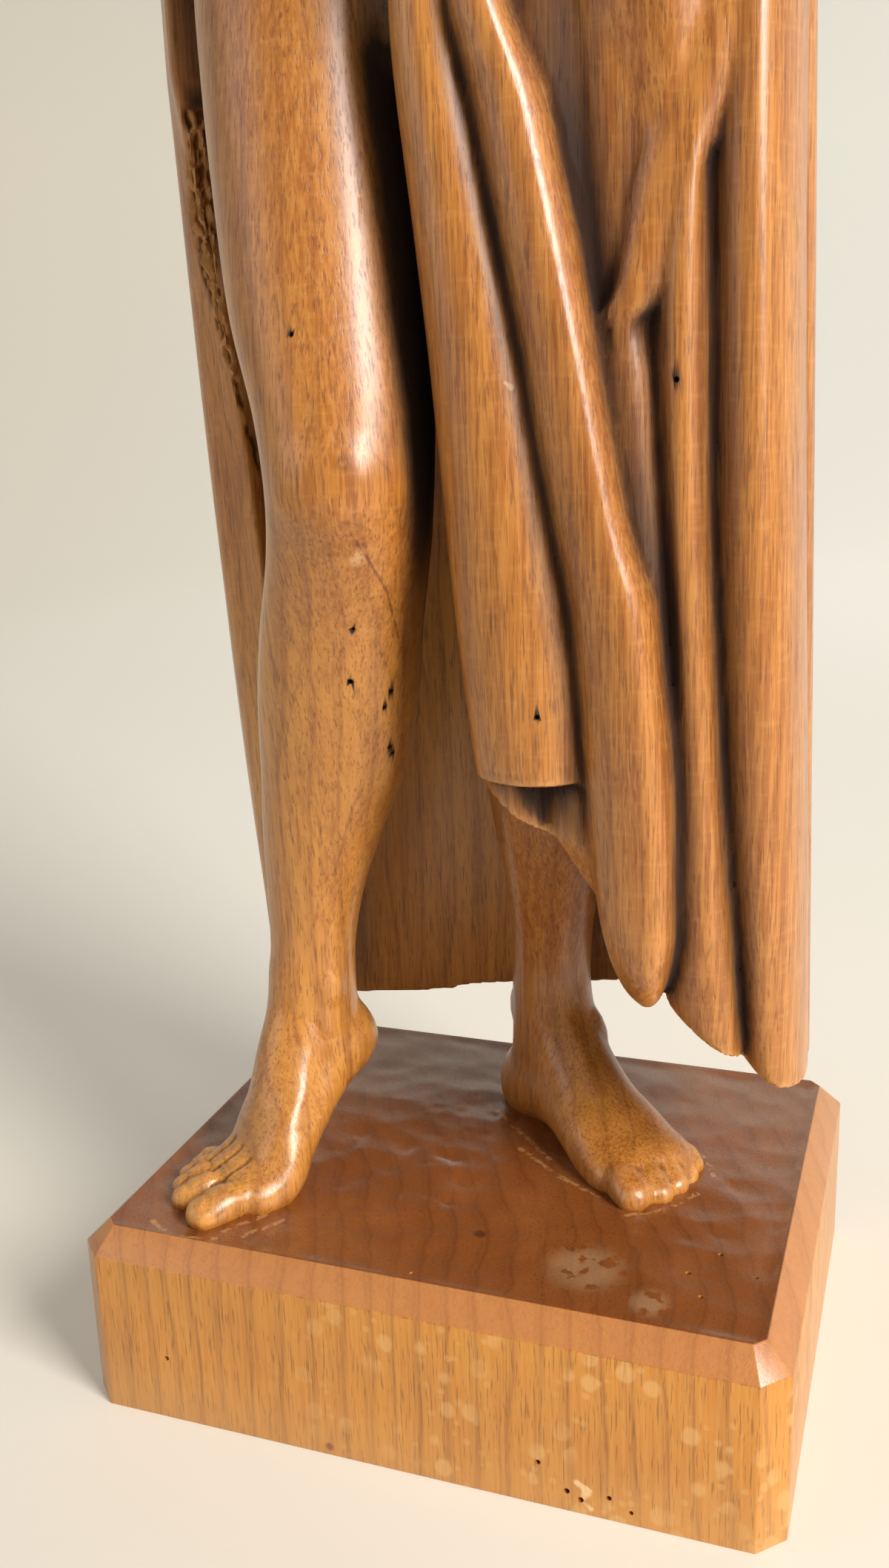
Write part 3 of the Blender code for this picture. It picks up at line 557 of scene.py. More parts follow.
# In front the cloth falls from the left hand in long round folds that widen as they drop. The first
# ends in a square cut, the others in a slanting hem. A taut swell over the hip ends in a pocket.
FOLDS = {
    "first_fold": [
        (345, 8, -30, 11, 7, 10, 12),
        (299, 4, -31, 9.5, 8.5, 10.5, 12),
        (252, 10.5, -31, 12, 10.5, 11, 12),
        (226, 14.5, -31, 13.5, 12, 11.5, 12),
        (200, 17.5, -31, 14.5, 13.5, 12, 12),
        (173, 20.5, -31, 15.5, 14.2, 12, 12),
        (145, 23.5, -31, 15.8, 14.5, 12, 12),
        (126, 25, -31, 15, 13.5, 11.5, 12),
    ],
    "second_fold": [
        (345, 17, -32, 8, 6, 10, 12),
        (296, 18.5, -33, 10, 5.5, 11, 12),
        (280, 24, -33, 11, 6.5, 11, 12),
        (261, 28.5, -33, 12, 6.5, 11, 12),
        (243, 32.5, -33, 12.5, 6.4, 11, 12),
        (224, 36.5, -33, 13, 6.2, 11, 12),
        (205, 40.4, -33, 14, 5.9, 11, 12),
        (185, 44.6, -33, 14, 5.9, 11, 12),
        (171, 48.6, -33, 15, 6.2, 11, 12),
        (155, 51, -33, 15.5, 6.2, 11, 12),
        (137, 53, -33, 16, 6.2, 11, 12),
        (118, 54.4, -32, 16, 6, 10.5, 12),
        (100, 54.8, -32, 15, 5.8, 10, 12),
        (85, 55, -32, 12.5, 5, 9.5, 10),
        (77, 54.4, -32, 9, 4, 8, 9),
        (72, 53.5, -32, 5, 3.5, 5.5, 7),
        (69, 53.5, -32, 1.5, 1.5, 3, 4),
    ],
    "flat_band": [
        (232, 47, -28, 6, 4.4, 7, 10),
        (224, 47.5, -28, 7, 5.6, 7.8, 10),
        (205, 49, -28, 7, 5.7, 7.8, 10),
        (185, 51.2, -28, 6, 5, 7.4, 10),
        (172, 53.6, -28, 5, 3.6, 6.8, 10),
        (160, 55.6, -28, 3.5, 2.3, 6, 10),
        (148, 57, -28, 2, 1.5, 4, 8),
    ],
    "third_fold": [
        (284, 65, -26, 0.8, 0.8, 6, 10),
        (272, 63.4, -26, 2.2, 1.4, 8.5, 10),
        (259, 61.4, -26, 3.8, 3.2, 9.8, 10),
        (243, 60, -26, 5.8, 5.3, 10, 10),
        (224, 59.6, -26, 6.4, 6.2, 9.8, 10),
        (204, 60.4, -26, 6, 5.9, 9.5, 10),
        (185, 61.2, -26, 5.6, 5.5, 9.5, 10),
        (162, 62.8, -26, 5.8, 5.4, 9.5, 10),
        (125, 65, -25.5, 8, 5.6, 9.5, 10, 0.2),
        (93, 66.4, -25, 10, 6.8, 9, 10, 0.4),
        (59, 68, -23, 12, 7.6, 8, 9, 0.75),
    ],
    "corner_fold": [
        (378, 73.8, -10, 12, 8, 20, 16),
        (330, 73.2, -10, 13, 8.6, 22, 18),
        (280, 73.4, -10, 13.5, 9, 23, 18),
        (230, 74.8, -10, 13.8, 9, 23, 18),
        (170, 77, -10, 13.8, 9, 23, 18),
        (110, 79.4, -9, 12.8, 9, 22, 18, 0.2),
        (48, 82.5, -8, 9.5, 8, 18, 16, 0.6),
    ],
}
HIP_SWELL = [
    (352, 48, -20, 30, 24, 22, 16),
    (320, 53, -20, 31, 19, 20, 16),
    (293, 56, -20, 30.5, 13, 17, 14),
    (275, 56.5, -20, 25, 8, 14.5, 12),
    (258, 54.5, -20, 19, 5, 12, 10),
    (243, 51, -20, 11.5, 3.5, 9.5, 8),
    (233, 49, -20, 5.5, 2.5, 7, 7),
]
POCKET_LIP = [
    (69, -27.5, 303, 6.0, 2.8),
    (66, -30, 292, 6.5, 3),
    (61, -31.3, 276, 7.2, 3.2),
    (56, -32, 259, 7.4, 3.2),
    (52, -32.5, 245, 6.2, 3.2),
    (49, -33, 236, 5.0, 3.4),
    (44.5, -32.5, 232, 3.6, 3.2),
    (41, -31, 231, 2.4, 2.6),
]
cloth_forms.append(limb("pocket_lip", POCKET_LIP, step=1.2, sides=18))
cloth_forms.append(upright("hip_swell", HIP_SWELL, 1.7))
cloth_forms += [upright(name, rows) for name, rows in FOLDS.items()]
roll = []
for r in CLOTH[2:]:
    inward = 1 - 5 / math.hypot(r[0], r[1])
    roll.append((r[0] * inward, r[1] * inward, r[7] - 1, 8.0, 7.0))
cloth_forms.append(limb("rolled_edge", roll, side=(0, 0, 1), sides=24))


# All of it is one block of wood, so the forms are fused: the body's are softened until they flow
# into each other, and the feet, face, hands and cloth keep the crisper edges that a gouge leaves.
def choose(*pieces):
    """Selects these pieces and no other, the first of them active."""
    bpy.ops.object.select_all(action="DESELECT")
    for piece in pieces:
        piece.select_set(True)
    bpy.context.view_layer.objects.active = pieces[0]


def fuse(name, forms, cell, passes):
    """Joins overlapping forms into one skin of small cells, and rubs it down."""
    choose(*forms)
    bpy.ops.object.join()
    whole = bpy.context.object
    whole.name = name
    bpy.ops.object.transform_apply(location=True, rotation=True, scale=True)
    bpy.ops.object.mode_set(mode="EDIT")
    bpy.ops.mesh.select_all(action="SELECT")
    bpy.ops.mesh.normals_make_consistent(inside=False)
    bpy.ops.object.mode_set(mode="OBJECT")
    skin = whole.modifiers.new("skin", "REMESH")
    skin.mode = "VOXEL"
    skin.voxel_size = cell
    bpy.ops.object.modifier_apply(modifier="skin")
    rub = whole.modifiers.new("rub", "SMOOTH")
    rub.factor = 0.5
    rub.iterations = passes
    bpy.ops.object.modifier_apply(modifier="rub")
    return whole


COARSE = 1.0
body = fuse("body", body_forms, 1.5 * MM, 24)
fine = fuse("fine_work", fine_forms, 0.7 * COARSE * MM, 3)
cloth = fuse("cloth", cloth_forms, 0.9 * COARSE * MM, 2)
figure = fuse("nude_on_its_plinth", [body, fine, cloth], 0.85 * COARSE * MM, 1)

# The camera stands where the photograph was taken from: close, a little above the knees, to the
# statue's left, and looking down. It is placed here because marks are laid where it sees them.
SPOT = Vector((118.4, -354.7, 268.7)) * MM
FRAME_WIDTH, FRAME_HEIGHT, REACH_OF_LENS = 1200, 2116, 1915
yaw, pitch, tilt = (math.radians(a) for a in (-19.95, -15.6, -1.93))
gaze = Vector((math.sin(yaw) * math.cos(pitch), math.cos(yaw) * math.cos(pitch), math.sin(pitch)))
level = Vector((math.cos(yaw), -math.sin(yaw), 0))
rightward = level * math.cos(tilt) + level.cross(gaze) * math.sin(tilt)
upward = rightward.cross(gaze)
camera = bpy.data.objects.new("camera", bpy.data.cameras.new("camera"))
bpy.context.scene.collection.objects.link(camera)
camera.matrix_world = Matrix.Translation(SPOT) @ Matrix((rightward, upward, -gaze)).transposed().to_4x4()
camera.data.sensor_width = 36
camera.data.lens = camera.data.sensor_width * REACH_OF_LENS / FRAME_HEIGHT
camera.data.clip_start = 0.01
bpy.context.scene.camera = camera
bpy.context.scene.view_settings.view_transform = "Standard"


def sight(across, down):
    """The line of sight through a place in the 1200 by 2116 frame."""
    across, down = across - FRAME_WIDTH / 2, down - FRAME_HEIGHT / 2
    return (gaze * REACH_OF_LENS + rightward * across - upward * down).normalized()


# Tool marks and small forms are cut into the fused skin: the lines between the toes, the nails, the
# waves of the hair, the valleys of the cloth, and the raw, gouged edge beside the right thigh.
def listed(items, name, width, kind=float):
    """One measure of all the mesh's points or edges, a row for each."""
    values = np.empty(len(items) * width, kind)
    items.foreach_get(name, values)
    return values.reshape(-1, width)


skin_mesh = figure.data
at = listed(skin_mesh.vertices, "co", 3) / MM
facing = listed(skin_mesh.vertices, "normal", 3)
edges = listed(skin_mesh.edges, "vertices", 2, int)
links = np.bincount(edges.ravel(), minlength=len(at))
skin_tree = BVHTree.FromObject(figure, bpy.context.evaluated_depsgraph_get())


def averaged(values, passes):
    """Values at the skin's points, each time averaged with their neighbours."""
    for _ in range(passes):
        total = np.zeros_like(values)
        for k in range(values.shape[1]):
            total[:, k] = np.bincount(edges[:, 0], values[edges[:, 1], k], len(values))
            total[:, k] += np.bincount(edges[:, 1], values[edges[:, 0], k], len(values))
        values = 0.5 * values + 0.5 * total / links[:, None]
    return values


def seen(*places):
    """Points on the skin, in millimetres, under places in the frame, along the lines between them."""
    path = []
    for (a, b), (c, d) in zip(places, places[1:] or places):
        for t in np.linspace(0, 1, 6):
            hit = skin_tree.ray_cast(SPOT, sight(a + (c - a) * t, b + (d - b) * t))[0]
            if hit:
                path.append(np.array(hit) / MM)
    return path


# The ways in which a tool comes at the skin, named for the side that it comes from.
FRONT, BACK, ABOVE, RIGHT, LEFT = (0, 1, 0), (0, -1, 0), (0, 0, -1), (1, 0, 0), (-1, 0, 0)


def struck(direction, *places):
    """Points on the skin, in millimetres, that lines from far off in one direction meet."""
    path = []
    direction = Vector(direction).normalized()
    for a, b in zip(places, places[1:] or places):
        for t in np.linspace(0, 1, 6):
            start = (Vector(a).lerp(Vector(b), t) + Vector((0, 0, GROUND))) * MM - direction * 0.3
            hit = skin_tree.ray_cast(start, direction)[0]
            if hit:
                path.append(np.array(hit) / MM)
    return path


def press(path, width, depth, fade=0.25):
    """Presses a round-bottomed line into the skin, or raises one where the depth is below nought."""
    if len(path) == 0:
        return
    path = np.array(path)
    near = np.nonzero(((at > path.min(0) - width) & (at < path.max(0) + width)).all(1))[0]
    away = np.full(len(near), 1e9)
    along = np.zeros(len(near))
    for k in range(max(len(path) - 1, 1)):
        a, b = path[k], path[min(k + 1, len(path) - 1)]
        span = b - a
        t = np.clip((at[near] - a) @ span / max(span @ span, 1e-9), 0, 1)
        gap = np.linalg.norm(at[near] - a - t[:, None] * span, axis=1)
        along = np.where(gap < away, (k + t) / max(len(path) - 1, 1), along)
        away = np.minimum(away, gap)
    ends = np.clip(np.minimum(along, 1 - along) / max(fade, 1e-6), 0, 1) if len(path) > 1 and fade else 1.0
    amount = depth * np.clip(1 - (away / width) ** 2, 0, 1) ** 2 * np.sqrt(ends)
    at[near] -= facing[near] * amount[:, None]


# The folds are rubbed down along the grain, and the valleys between them are cut a little deeper.
on_cloth = (at[:, 2] > 78) & (at[:, 2] < 375) & (at[:, 1] < -14) & (at[:, 0] > -6)
span = at[edges[:, 1]] - at[edges[:, 0]]
steep = np.abs(span[:, 2]) / np.linalg.norm(span, axis=1) > 0.8
upper, lower = edges[steep, 0], edges[steep, 1]
kept = np.bincount(upper, minlength=len(at)) + np.bincount(lower, minlength=len(at))
for _ in range(12):
    total = np.stack([np.bincount(upper, at[lower, k], len(at)) for k in range(3)], -1)
    total += np.stack([np.bincount(lower, at[upper, k], len(at)) for k in range(3)], -1)
    rubbed = 0.5 * at + 0.5 * total / np.maximum(kept, 1)[:, None]
    at = np.where((on_cloth & (kept > 1))[:, None], rubbed, at)
sunk = ((averaged(at, 6) - at) * facing).sum(1)
at -= facing * (np.clip(sunk - 0.18, 0, 0.6) * on_cloth * 0.5)[:, None]

# Raw edge of the cloth beside the right thigh, torn with a coarse gouge and never smoothed.
sight_line = at * MM - np.array(SPOT)
ahead = sight_line @ np.array(gaze)
frame_x = FRAME_WIDTH / 2 + REACH_OF_LENS * (sight_line @ np.array(rightward)) / ahead
frame_y = FRAME_HEIGHT / 2 - REACH_OF_LENS * (sight_line @ np.array(upward)) / ahead
strip_down = [-420, 22, 134, 223, 304, 366, 411, 478, 522, 567, 625, 692]
strip_left = [225, 246, 248, 253, 260, 271, 285, 300, 317, 329, 347, 363]
strip_right = [275, 290, 287, 291, 291, 296, 300, 312, 323, 334, 350, 372]
left_side = np.interp(frame_y, strip_down, strip_left)
right_side = np.interp(frame_y, strip_down, strip_right)
raw = np.clip((frame_x - left_side + 3) / 7, 0, 1) * np.clip((right_side + 3 - frame_x) / 7, 0, 1)
thigh_side = np.interp(at[:, 2], [194, 212, 235, 262, 290], [-48, -50, -57, -62, -66])
raw *= (at[:, 0] < thigh_side) & (at[:, 1] < 28) & (frame_y < 700) & (at[:, 2] < 341) & (facing[:, 1] < 0.35)
for k in np.nonzero(raw > 0.02)[0]:
    x, y, z = at[k]
    torn = noise.fractal(Vector((x * 0.42, y * 0.42, z * 0.12)), 0.8, 2.1, 4)
    pit = noise.voronoi(Vector((x * 0.58 + 0.6 * torn, y * 0.58, z * 0.22)))[0][0]
    at[k] -= facing[k] * raw[k] * (0.9 + 1.4 * torn + 3.2 * (0.42 - pit))

# Feet: nails, the bends of the toes, the crease under the ankle and the tendons over the instep.
for ball, across, heading, stretch, spread, cut in (
    (RAISED_BALL, RAISED_ACROSS, RAISED_HEADING, RAISED_REACH, RAISED_SPREAD, 0.5),
    (FLAT_BALL, FLAT_ACROSS, FLAT_HEADING, FLAT_REACH, FLAT_SPREAD, 1.1),
):
    ball, across, heading = Vector((ball[0], ball[1], 0)), Vector(across), Vector(heading)
    for offset, half, length, height, knuckle in TOES:
        fan = math.radians(spread if offset < 10 else 0)
        ahead = heading * math.cos(fan) - across * math.sin(fan)
        line = ball + across * offset
        tip = length * stretch
        nail = [(1.6, 0.62), (3.4, 0.64), (5.6, 0.5), (6.4, 0), (5.6, -0.5), (3.4, -0.64), (1.6, -0.62)]
        outline = [line + ahead * (tip - behind * half / 5.5) + across * half * wide for behind, wide in nail]
        press(struck(ABOVE, *outline), 1.0, 0.8 * cut, 0.05)
        for share in (0.52, 0.44, 0.37):
            bend = [line + ahead * (tip * share) + across * (half * s * 0.7) for s in (-1, 0, 1)]
            press(struck(ABOVE, *bend), 1.0, 0.6 * cut)
    for left, right, length in ((10.4, 2.7, 20), (2.7, -4, 19), (-4, -9.8, 16), (-9.8, -14.8, 12)):
        fan = math.radians(spread * 0.6)
        ahead = heading * math.cos(fan) - across * math.sin(fan)
        middle = ball + across * ((left + right) / 2 + (-0.9 if left > 10 else 0))
        press(struck(ABOVE, middle + ahead * 3, middle + ahead * length * stretch), 1.4, 1.7 * cut, 0.3)
INNER_ANKLE = [(450, 1329), (450, 1337)]
TENDON_CREASE = [(421, 1371), (436, 1392), (456, 1403)]
INSTEP_RIDGE = [(405, 1416), (402, 1450), (396, 1489), (370, 1542), (341, 1594)]
INSTEP_HOLLOW = [(438, 1420), (430, 1480), (405, 1530)]
FLAT_INSTEP_RIDGE = [(769, 1366), (784, 1415), (812, 1480), (850, 1530)]
press(seen(*INNER_ANKLE), 6, -1.3, 0)
press(seen(*TENDON_CREASE), 2.4, 0.7)
press(seen(*INSTEP_RIDGE), 6, -0.4)
press(seen(*INSTEP_HOLLOW), 5, 0.7)
press(seen(*FLAT_INSTEP_RIDGE), 4.5, -0.8)
press(struck(RIGHT, (-100, 31, 37), (-100, 31, 35)), 6, -1.2, 0)
press(struck(LEFT, (100, 30, 33), (100, 30, 31)), 6, -1.4, 0)

# Head: waves in the hair, nostrils, the line of the mouth, and the parting.
look = -FACE_AHEAD
for side in (-1, 1):
    for shift in (-2.6, 0, 2.6):
        wave = [(2.5, 624), (11, 622.5), (19.5, 617.5), (24, 608), (26, 598)]
        press(struck(look, *[on_head(side * (a + shift * 0.6), 60, h + shift) for a, h in wave]), 1.5, 0.8)
    for lift in (0.1, 0.3, 0.5, 0.7, 0.9):
        crest = HAIR_CREST + HAIR_RISE * math.sin(math.pi * (0.25 + lift * 0.5))
        wave = [(19 - 24 * lift, crest - 1), (14.5 - 22 * lift, crest - 4), (10 - 20 * lift, 599 + 9 * lift)]
        wave += [(-2 - 16 * lift, 590 + 8 * lift), (-20 - 6 * lift, 588 + 8 * lift)]
        press(struck(FACE_ACROSS * -side, *[on_head(side * 60, a, h) for a, h in wave]), 1.6, 0.9)
    press(struck(look, on_head(side * 2.2, 60, 573), on_head(side * 3.2, 60, 572.6)), 1.0, 0.6, 0)
    press(struck(look, on_head(side * 5.5, 60, 577), on_head(side * 6.2, 60, 573)), 1.1, 0.4)
mouth = [on_head(a, 60, 564.2 + 0.25 * abs(a) / 3) for a in (-7, -3.5, 0, 3.5, 7)]
press(struck(look, *mouth), 0.9, 0.7, 0.15)
press(struck(look, on_head(0, 60, 571.5), on_head(0, 60, 568.5)), 1.3, 0.35)
press(struck(look, *[on_head(0, 60, h) for h in (615, 620, 626)]), 2.2, 1.5, 0.1)
press(struck(ABOVE, *[on_head(0, a, 660) for a in (19, 10, 0, -12, -22)]), 2.4, 1.6, 0.1)
press(struck(look, *[on_head(a, 60, 559) for a in (-4, 0, 4)]), 1.8, 0.4)

# Trunk: collarbones, breastbone, navel, groins, the hollow of the spine, shoulder blades and seat.
for side in (-1, 1):
    press(struck(FRONT, (side * 6, 0, 507), (side * 22, 0, 505), (side * 40, 0, 508)), 3.2, -0.9)
    press(struck(FRONT, (side * 8, 0, 513), (side * 24, 0, 511), (side * 36, 0, 513)), 4.5, 1.0)
    press(struck(BACK, (side * 16, 0, 490), (side * 22, 0, 470), (side * 30, 0, 458)), 9, 1.0)
    press(struck(FRONT, (3 + side * 44, 0, 338), (3 + side * 24, 0, 316), (3 + side * 6, 0, 303)), 4.0, 0.8)
press(struck(FRONT, (-2, 0, 492), (-2, 0, 470), (-1, 0, 440)), 5, 0.8)
press(struck(FRONT, (0, 0, 430), (2, 0, 400), (3, 0, 375)), 5, 0.7)
press(struck(FRONT, (3, 0, 366), (3, 0, 363)), 2.6, 1.6, 0)
press(struck(BACK, (0, 0, 505), (-1, 0, 470), (0, 0, 430), (2, 0, 390), (2, 0, 350)), 7, 2.0)
skin_mesh.vertices.foreach_set("co", (at * MM).ravel())
skin_mesh.update()

# How far each place lies below or above the skin round it: hollows hold old wax, edges wear pale.
around = averaged(at, 5)
facing = listed(skin_mesh.vertices, "normal", 3)
hollow = np.clip(((around - at) * facing).sum(1) * 4.5, -1, 1)
hollow = averaged(hollow[:, None] * (1 + raw[:, None]), 1)[:, 0]
raw = averaged(raw[:, None].astype(float), 2)[:, 0]

# The fused skin is thinned where it is smooth and set on the plinth as one solid. Old beetle holes
# are then drilled into it.
TRIANGLES = 168000


def combine(operation, tool):
    """Adds a closed piece to the figure, or cuts it away."""
    choose(figure)
    together = figure.modifiers.new("together", "BOOLEAN")
    together.operation = operation
    together.solver = "EXACT"
    together.object = tool
    bpy.ops.object.modifier_apply(modifier="together")
    bpy.data.objects.remove(tool)


thin = figure.modifiers.new("thin", "DECIMATE")
skin_mesh.calc_loop_triangles()
thin.ratio = min(1.0, TRIANGLES / len(skin_mesh.loop_triangles))
choose(figure)
bpy.ops.object.modifier_apply(modifier="thin")
combine("UNION", plinth)
whole_tree = BVHTree.FromObject(figure, bpy.context.evaluated_depsgraph_get())
# Hole: its place across and down the frame, and its radius in millimetres.
HOLES = [(477, 849, 0.55), (473, 920, 0.75), (528, 933, 0.75), (519, 955, 0.6), (526, 1008, 0.7)]
HOLES += [(530, 1016, 0.6), (393, 451, 0.6), (725, 968, 0.6), (913, 512, 0.7), (929, 1718, 0.8)]
HOLES += [(973, 1693, 0.7), (1021, 1724, 0.7), (946, 1750, 0.7), (556, 1718, 0.6), (726, 1973, 0.7)]
HOLES += [(765, 2012, 0.8), (784, 2024, 0.8), (822, 2022, 0.7), (852, 2042, 0.6), (225, 1833, 0.7)]
HOLE_DEPTH = 2.5 * MM
drills = []
for across, down, radius in HOLES:
    spot, normal = whole_tree.ray_cast(SPOT, sight(across, down))[:2]
    if spot:
        aim = normal.to_track_quat("Z", "Y").to_euler()
        bpy.ops.mesh.primitive_cylinder_add(
            vertices=9, radius=radius * MM, depth=HOLE_DEPTH * 2, location=spot, rotation=aim
        )
        drills.append(bpy.context.object)
choose(*drills)
bpy.ops.object.join()
combine("DIFFERENCE", bpy.context.object)
bpy.ops.object.shade_smooth_by_angle(angle=math.radians(38))

# Three measures are kept at each point for the finish: how hollow and how raw the wood is there, and
# how deep it lies between other forms, where little light gets in; the colour paints shade there from it.
places = kdtree.KDTree(len(at))
for k, spot in enumerate(at):
    places.insert(spot, k)
places.balance()
hollow_here = figure.data.attributes.new("hollow", "FLOAT", "POINT")
raw_here = figure.data.attributes.new("raw", "FLOAT", "POINT")
deep_here = figure.data.attributes.new("deep", "FLOAT", "POINT")
bored_tree = BVHTree.FromObject(figure, bpy.context.evaluated_depsgraph_get())
AROUND = [(0, 0, 1), (0.8, 0, 0.6), (-0.8, 0, 0.6), (0, 0.8, 0.6), (0, -0.8, 0.6)]
AROUND += [(0.7, 0.7, 0.14), (-0.7, 0.7, 0.14), (0.7, -0.7, 0.14), (-0.7, -0.7, 0.14)]
REACH = 70 * MM
deep = np.zeros(len(figure.data.vertices))
for k, vert in enumerate(figure.data.vertices):
    _, nearest, gap = places.find(vert.co / MM)
    if gap < 2.5:
        hollow_here.data[k].value = hollow[nearest]
        raw_here.data[k].value = raw[nearest]
    outward = vert.normal.to_track_quat("Z", "Y")
    shut = 0
    for way in AROUND:
        direction = outward @ Vector(way)
        met = bored_tree.ray_cast(vert.co + direction * 0.4 * MM, direction, REACH)[3]
        shut += 0 if met is None else 1 - met / REACH
    deep[k] = shut / len(AROUND)
edges = listed(figure.data.edges, "vertices", 2, int)
links = np.bincount(edges.ravel(), minlength=len(deep))
deep_here.data.foreach_set("value", averaged(deep[:, None], 8)[:, 0])

# Oiled and waxed light hardwood with its grain upright. The plinth's top has gone dark and glossy,
# its sawn front has stayed yellow, and old wax lies in the hollows.
wood = bpy.data.materials.new("oiled_wood")
wood.use_nodes = True
tree = wood.node_tree
shader = tree.nodes["Principled BSDF"]


class Grain:
    """A value that varies over the wood. Sums and products of it add Math nodes."""

    def __init__(self, socket):
        self.socket = socket

    def math(self, operation, *others):
        return node("ShaderNodeMath", {"operation": operation}, dict(enumerate((self, *others))))

    def __add__(self, other):
        return self.math("ADD", other)

    def __sub__(self, other):
        return self.math("SUBTRACT", other)

    def __rsub__(self, other):
        return node("ShaderNodeMath", {"operation": "SUBTRACT"}, {0: other, 1: self})

    def __mul__(self, other):
        return self.math("MULTIPLY", other)

    def __truediv__(self, other):
        return self.math("DIVIDE", other)

    __radd__, __rmul__ = __add__, __mul__

    def to(self, low, high):
        """How far the value has gone from low to high, from 0 to 1."""
        values = {0: self, 1: low, 2: high, 3: 0, 4: 1}
        return node("ShaderNodeMapRange", {"interpolation_type": "SMOOTHSTEP"}, values)


def node(kind, settings, sockets, output=0):
    """Adds a node, makes its settings, then links or sets its sockets."""
    made = tree.nodes.new(kind)
    for name, value in settings.items():
        if name == "stops":
            ramp = made.color_ramp
            while len(ramp.elements) < len(value):
                ramp.elements.new(0.5)
            for element, (place, shade) in zip(ramp.elements, value):
                element.position = place
                element.color = (shade, shade, shade, 1)
        else:
            setattr(made, name, value)
    for name, value in sockets.items():
        if isinstance(value, Grain):
            tree.links.new(value.socket, made.inputs[name])
        else:
            made.inputs[name].default_value = value
    return Grain(made.outputs[output])


def stretched(x, y, z, shift=0.0):
    """Object coordinates in millimetres, divided along each axis."""
    scale = (1000 / x, 1000 / y, 1000 / z)
    return node("ShaderNodeMapping", {}, {0: position, 1: (shift, shift * 1.7, shift * 0.6), 3: scale})


def clouds(x, y, z, shift=0.0, detail=2.0, rough=0.5):
    """Soft noise whose lumps are about so many millimetres along each axis."""
    values = {"Vector": stretched(x, y, z, shift), "Scale": 1.0, "Detail": detail, "Roughness": rough}
    return node("ShaderNodeTexNoise", {}, values)


def blend(amount, under, over):
    """One colour laid over another, as strongly as the amount says."""
    return node("ShaderNodeMix", {"data_type": "RGBA"}, {0: amount, 6: under, 7: over}, 2)


def colour(red, green, blue):
    """A colour as a picture editor names it, in the light's own measure."""
    parts = [c / 255 for c in (red, green, blue)]
    return (*[c / 12.92 if c <= 0.04045 else ((c + 0.055) / 1.055) ** 2.4 for c in parts], 1)


def layered(under, *layers):
    """Colours laid one over another. Layer: how strongly, then its red, green and blue."""
    for amount, *shade in layers:
        under = blend(amount, under, colour(*shade))
    return under


position = node("ShaderNodeTexCoord", {}, {}, 3)
x, y, z = (node("ShaderNodeSeparateXYZ", {}, {0: position}, k) * 1000 for k in range(3))
slope = node("ShaderNodeTexCoord", {}, {}, 1)
slope_z = node("ShaderNodeSeparateXYZ", {}, {0: slope}, 2)
hollow_value = node("ShaderNodeAttribute", {"attribute_name": "hollow"}, {}, 2)
raw_value = node("ShaderNodeAttribute", {"attribute_name": "raw"}, {}, 2)
deep_value = node("ShaderNodeAttribute", {"attribute_name": "deep"}, {}, 2)

# Growth rings stand upright round a heart far off to one side, so they cross the plinth's front as
# wavy upright lines and wander into ovals over the knee.
HEART_X, HEART_Y, RING_WIDTH = -210, -120, 7.6
sway = clouds(34, 34, 120, 3, 2) * 15 - 7.5
jitter = clouds(5, 5, 26, 8, 3) * 2.4 - 1.2
from_heart = ((x - HEART_X) * (x - HEART_X) + (y - HEART_Y) * (y - HEART_Y)).math("SQRT")
season = ((from_heart + sway + jitter) / RING_WIDTH).math("FRACT")
stops = [(0.0, 0.35), (0.10, 0.05), (0.62, 0.12), (0.74, 0.62)]
stops += [(0.80, 0.25), (0.90, 0.95), (0.95, 1.0), (1.0, 0.35)]
late = node("ShaderNodeValToRGB", {"stops": stops}, {0: season}) * 1.0

# Pores are short dark dashes along the grain, thickest in the early wood, and fine fibres run
# between them. A faint ripple lies across the grain.
pores = clouds(0.55, 0.55, 9, 1, 2, 0.6).to(0.56, 0.66)
coarse = clouds(1.1, 1.1, 16, 5, 2, 0.6).to(0.57, 0.66)
fibres = clouds(0.9, 0.9, 40, 2, 3, 0.65)
streaks = clouds(3.5, 3.5, 90, 6, 3, 0.6)
drift = clouds(60, 60, 150, 4, 2, 0.5)
ripple = clouds(7, 7, 1.6, 9, 2, 0.5)

# The plinth's top, its chamfer and its sides each have their own finish.
on_plinth = z.to(54.6, 53.6)
top = on_plinth * slope_z.to(0.9, 0.985)
chamfer = on_plinth * slope_z.to(0.35, 0.6) * (1 - slope_z.to(0.9, 0.985)) * z.to(45, 47)
side = on_plinth * (1 - slope_z.to(0.25, 0.4))


def marked(across, down):
    """The place on the carving, in metres, that the camera sees at a place in the frame."""
    return bored_tree.ray_cast(SPOT, sight(across, down))[0]


def round_mark(across, down, inner, outer):
    """1 within the inner distance in millimetres of a place in the frame, and 0 past the outer."""
    away = node("ShaderNodeVectorMath", {"operation": "DISTANCE"}, {0: position, 1: marked(across, down)}, 1)
    return away.to(outer * MM, inner * MM)


waver = clouds(3, 3, 3, 31, 1) * 2 - 1


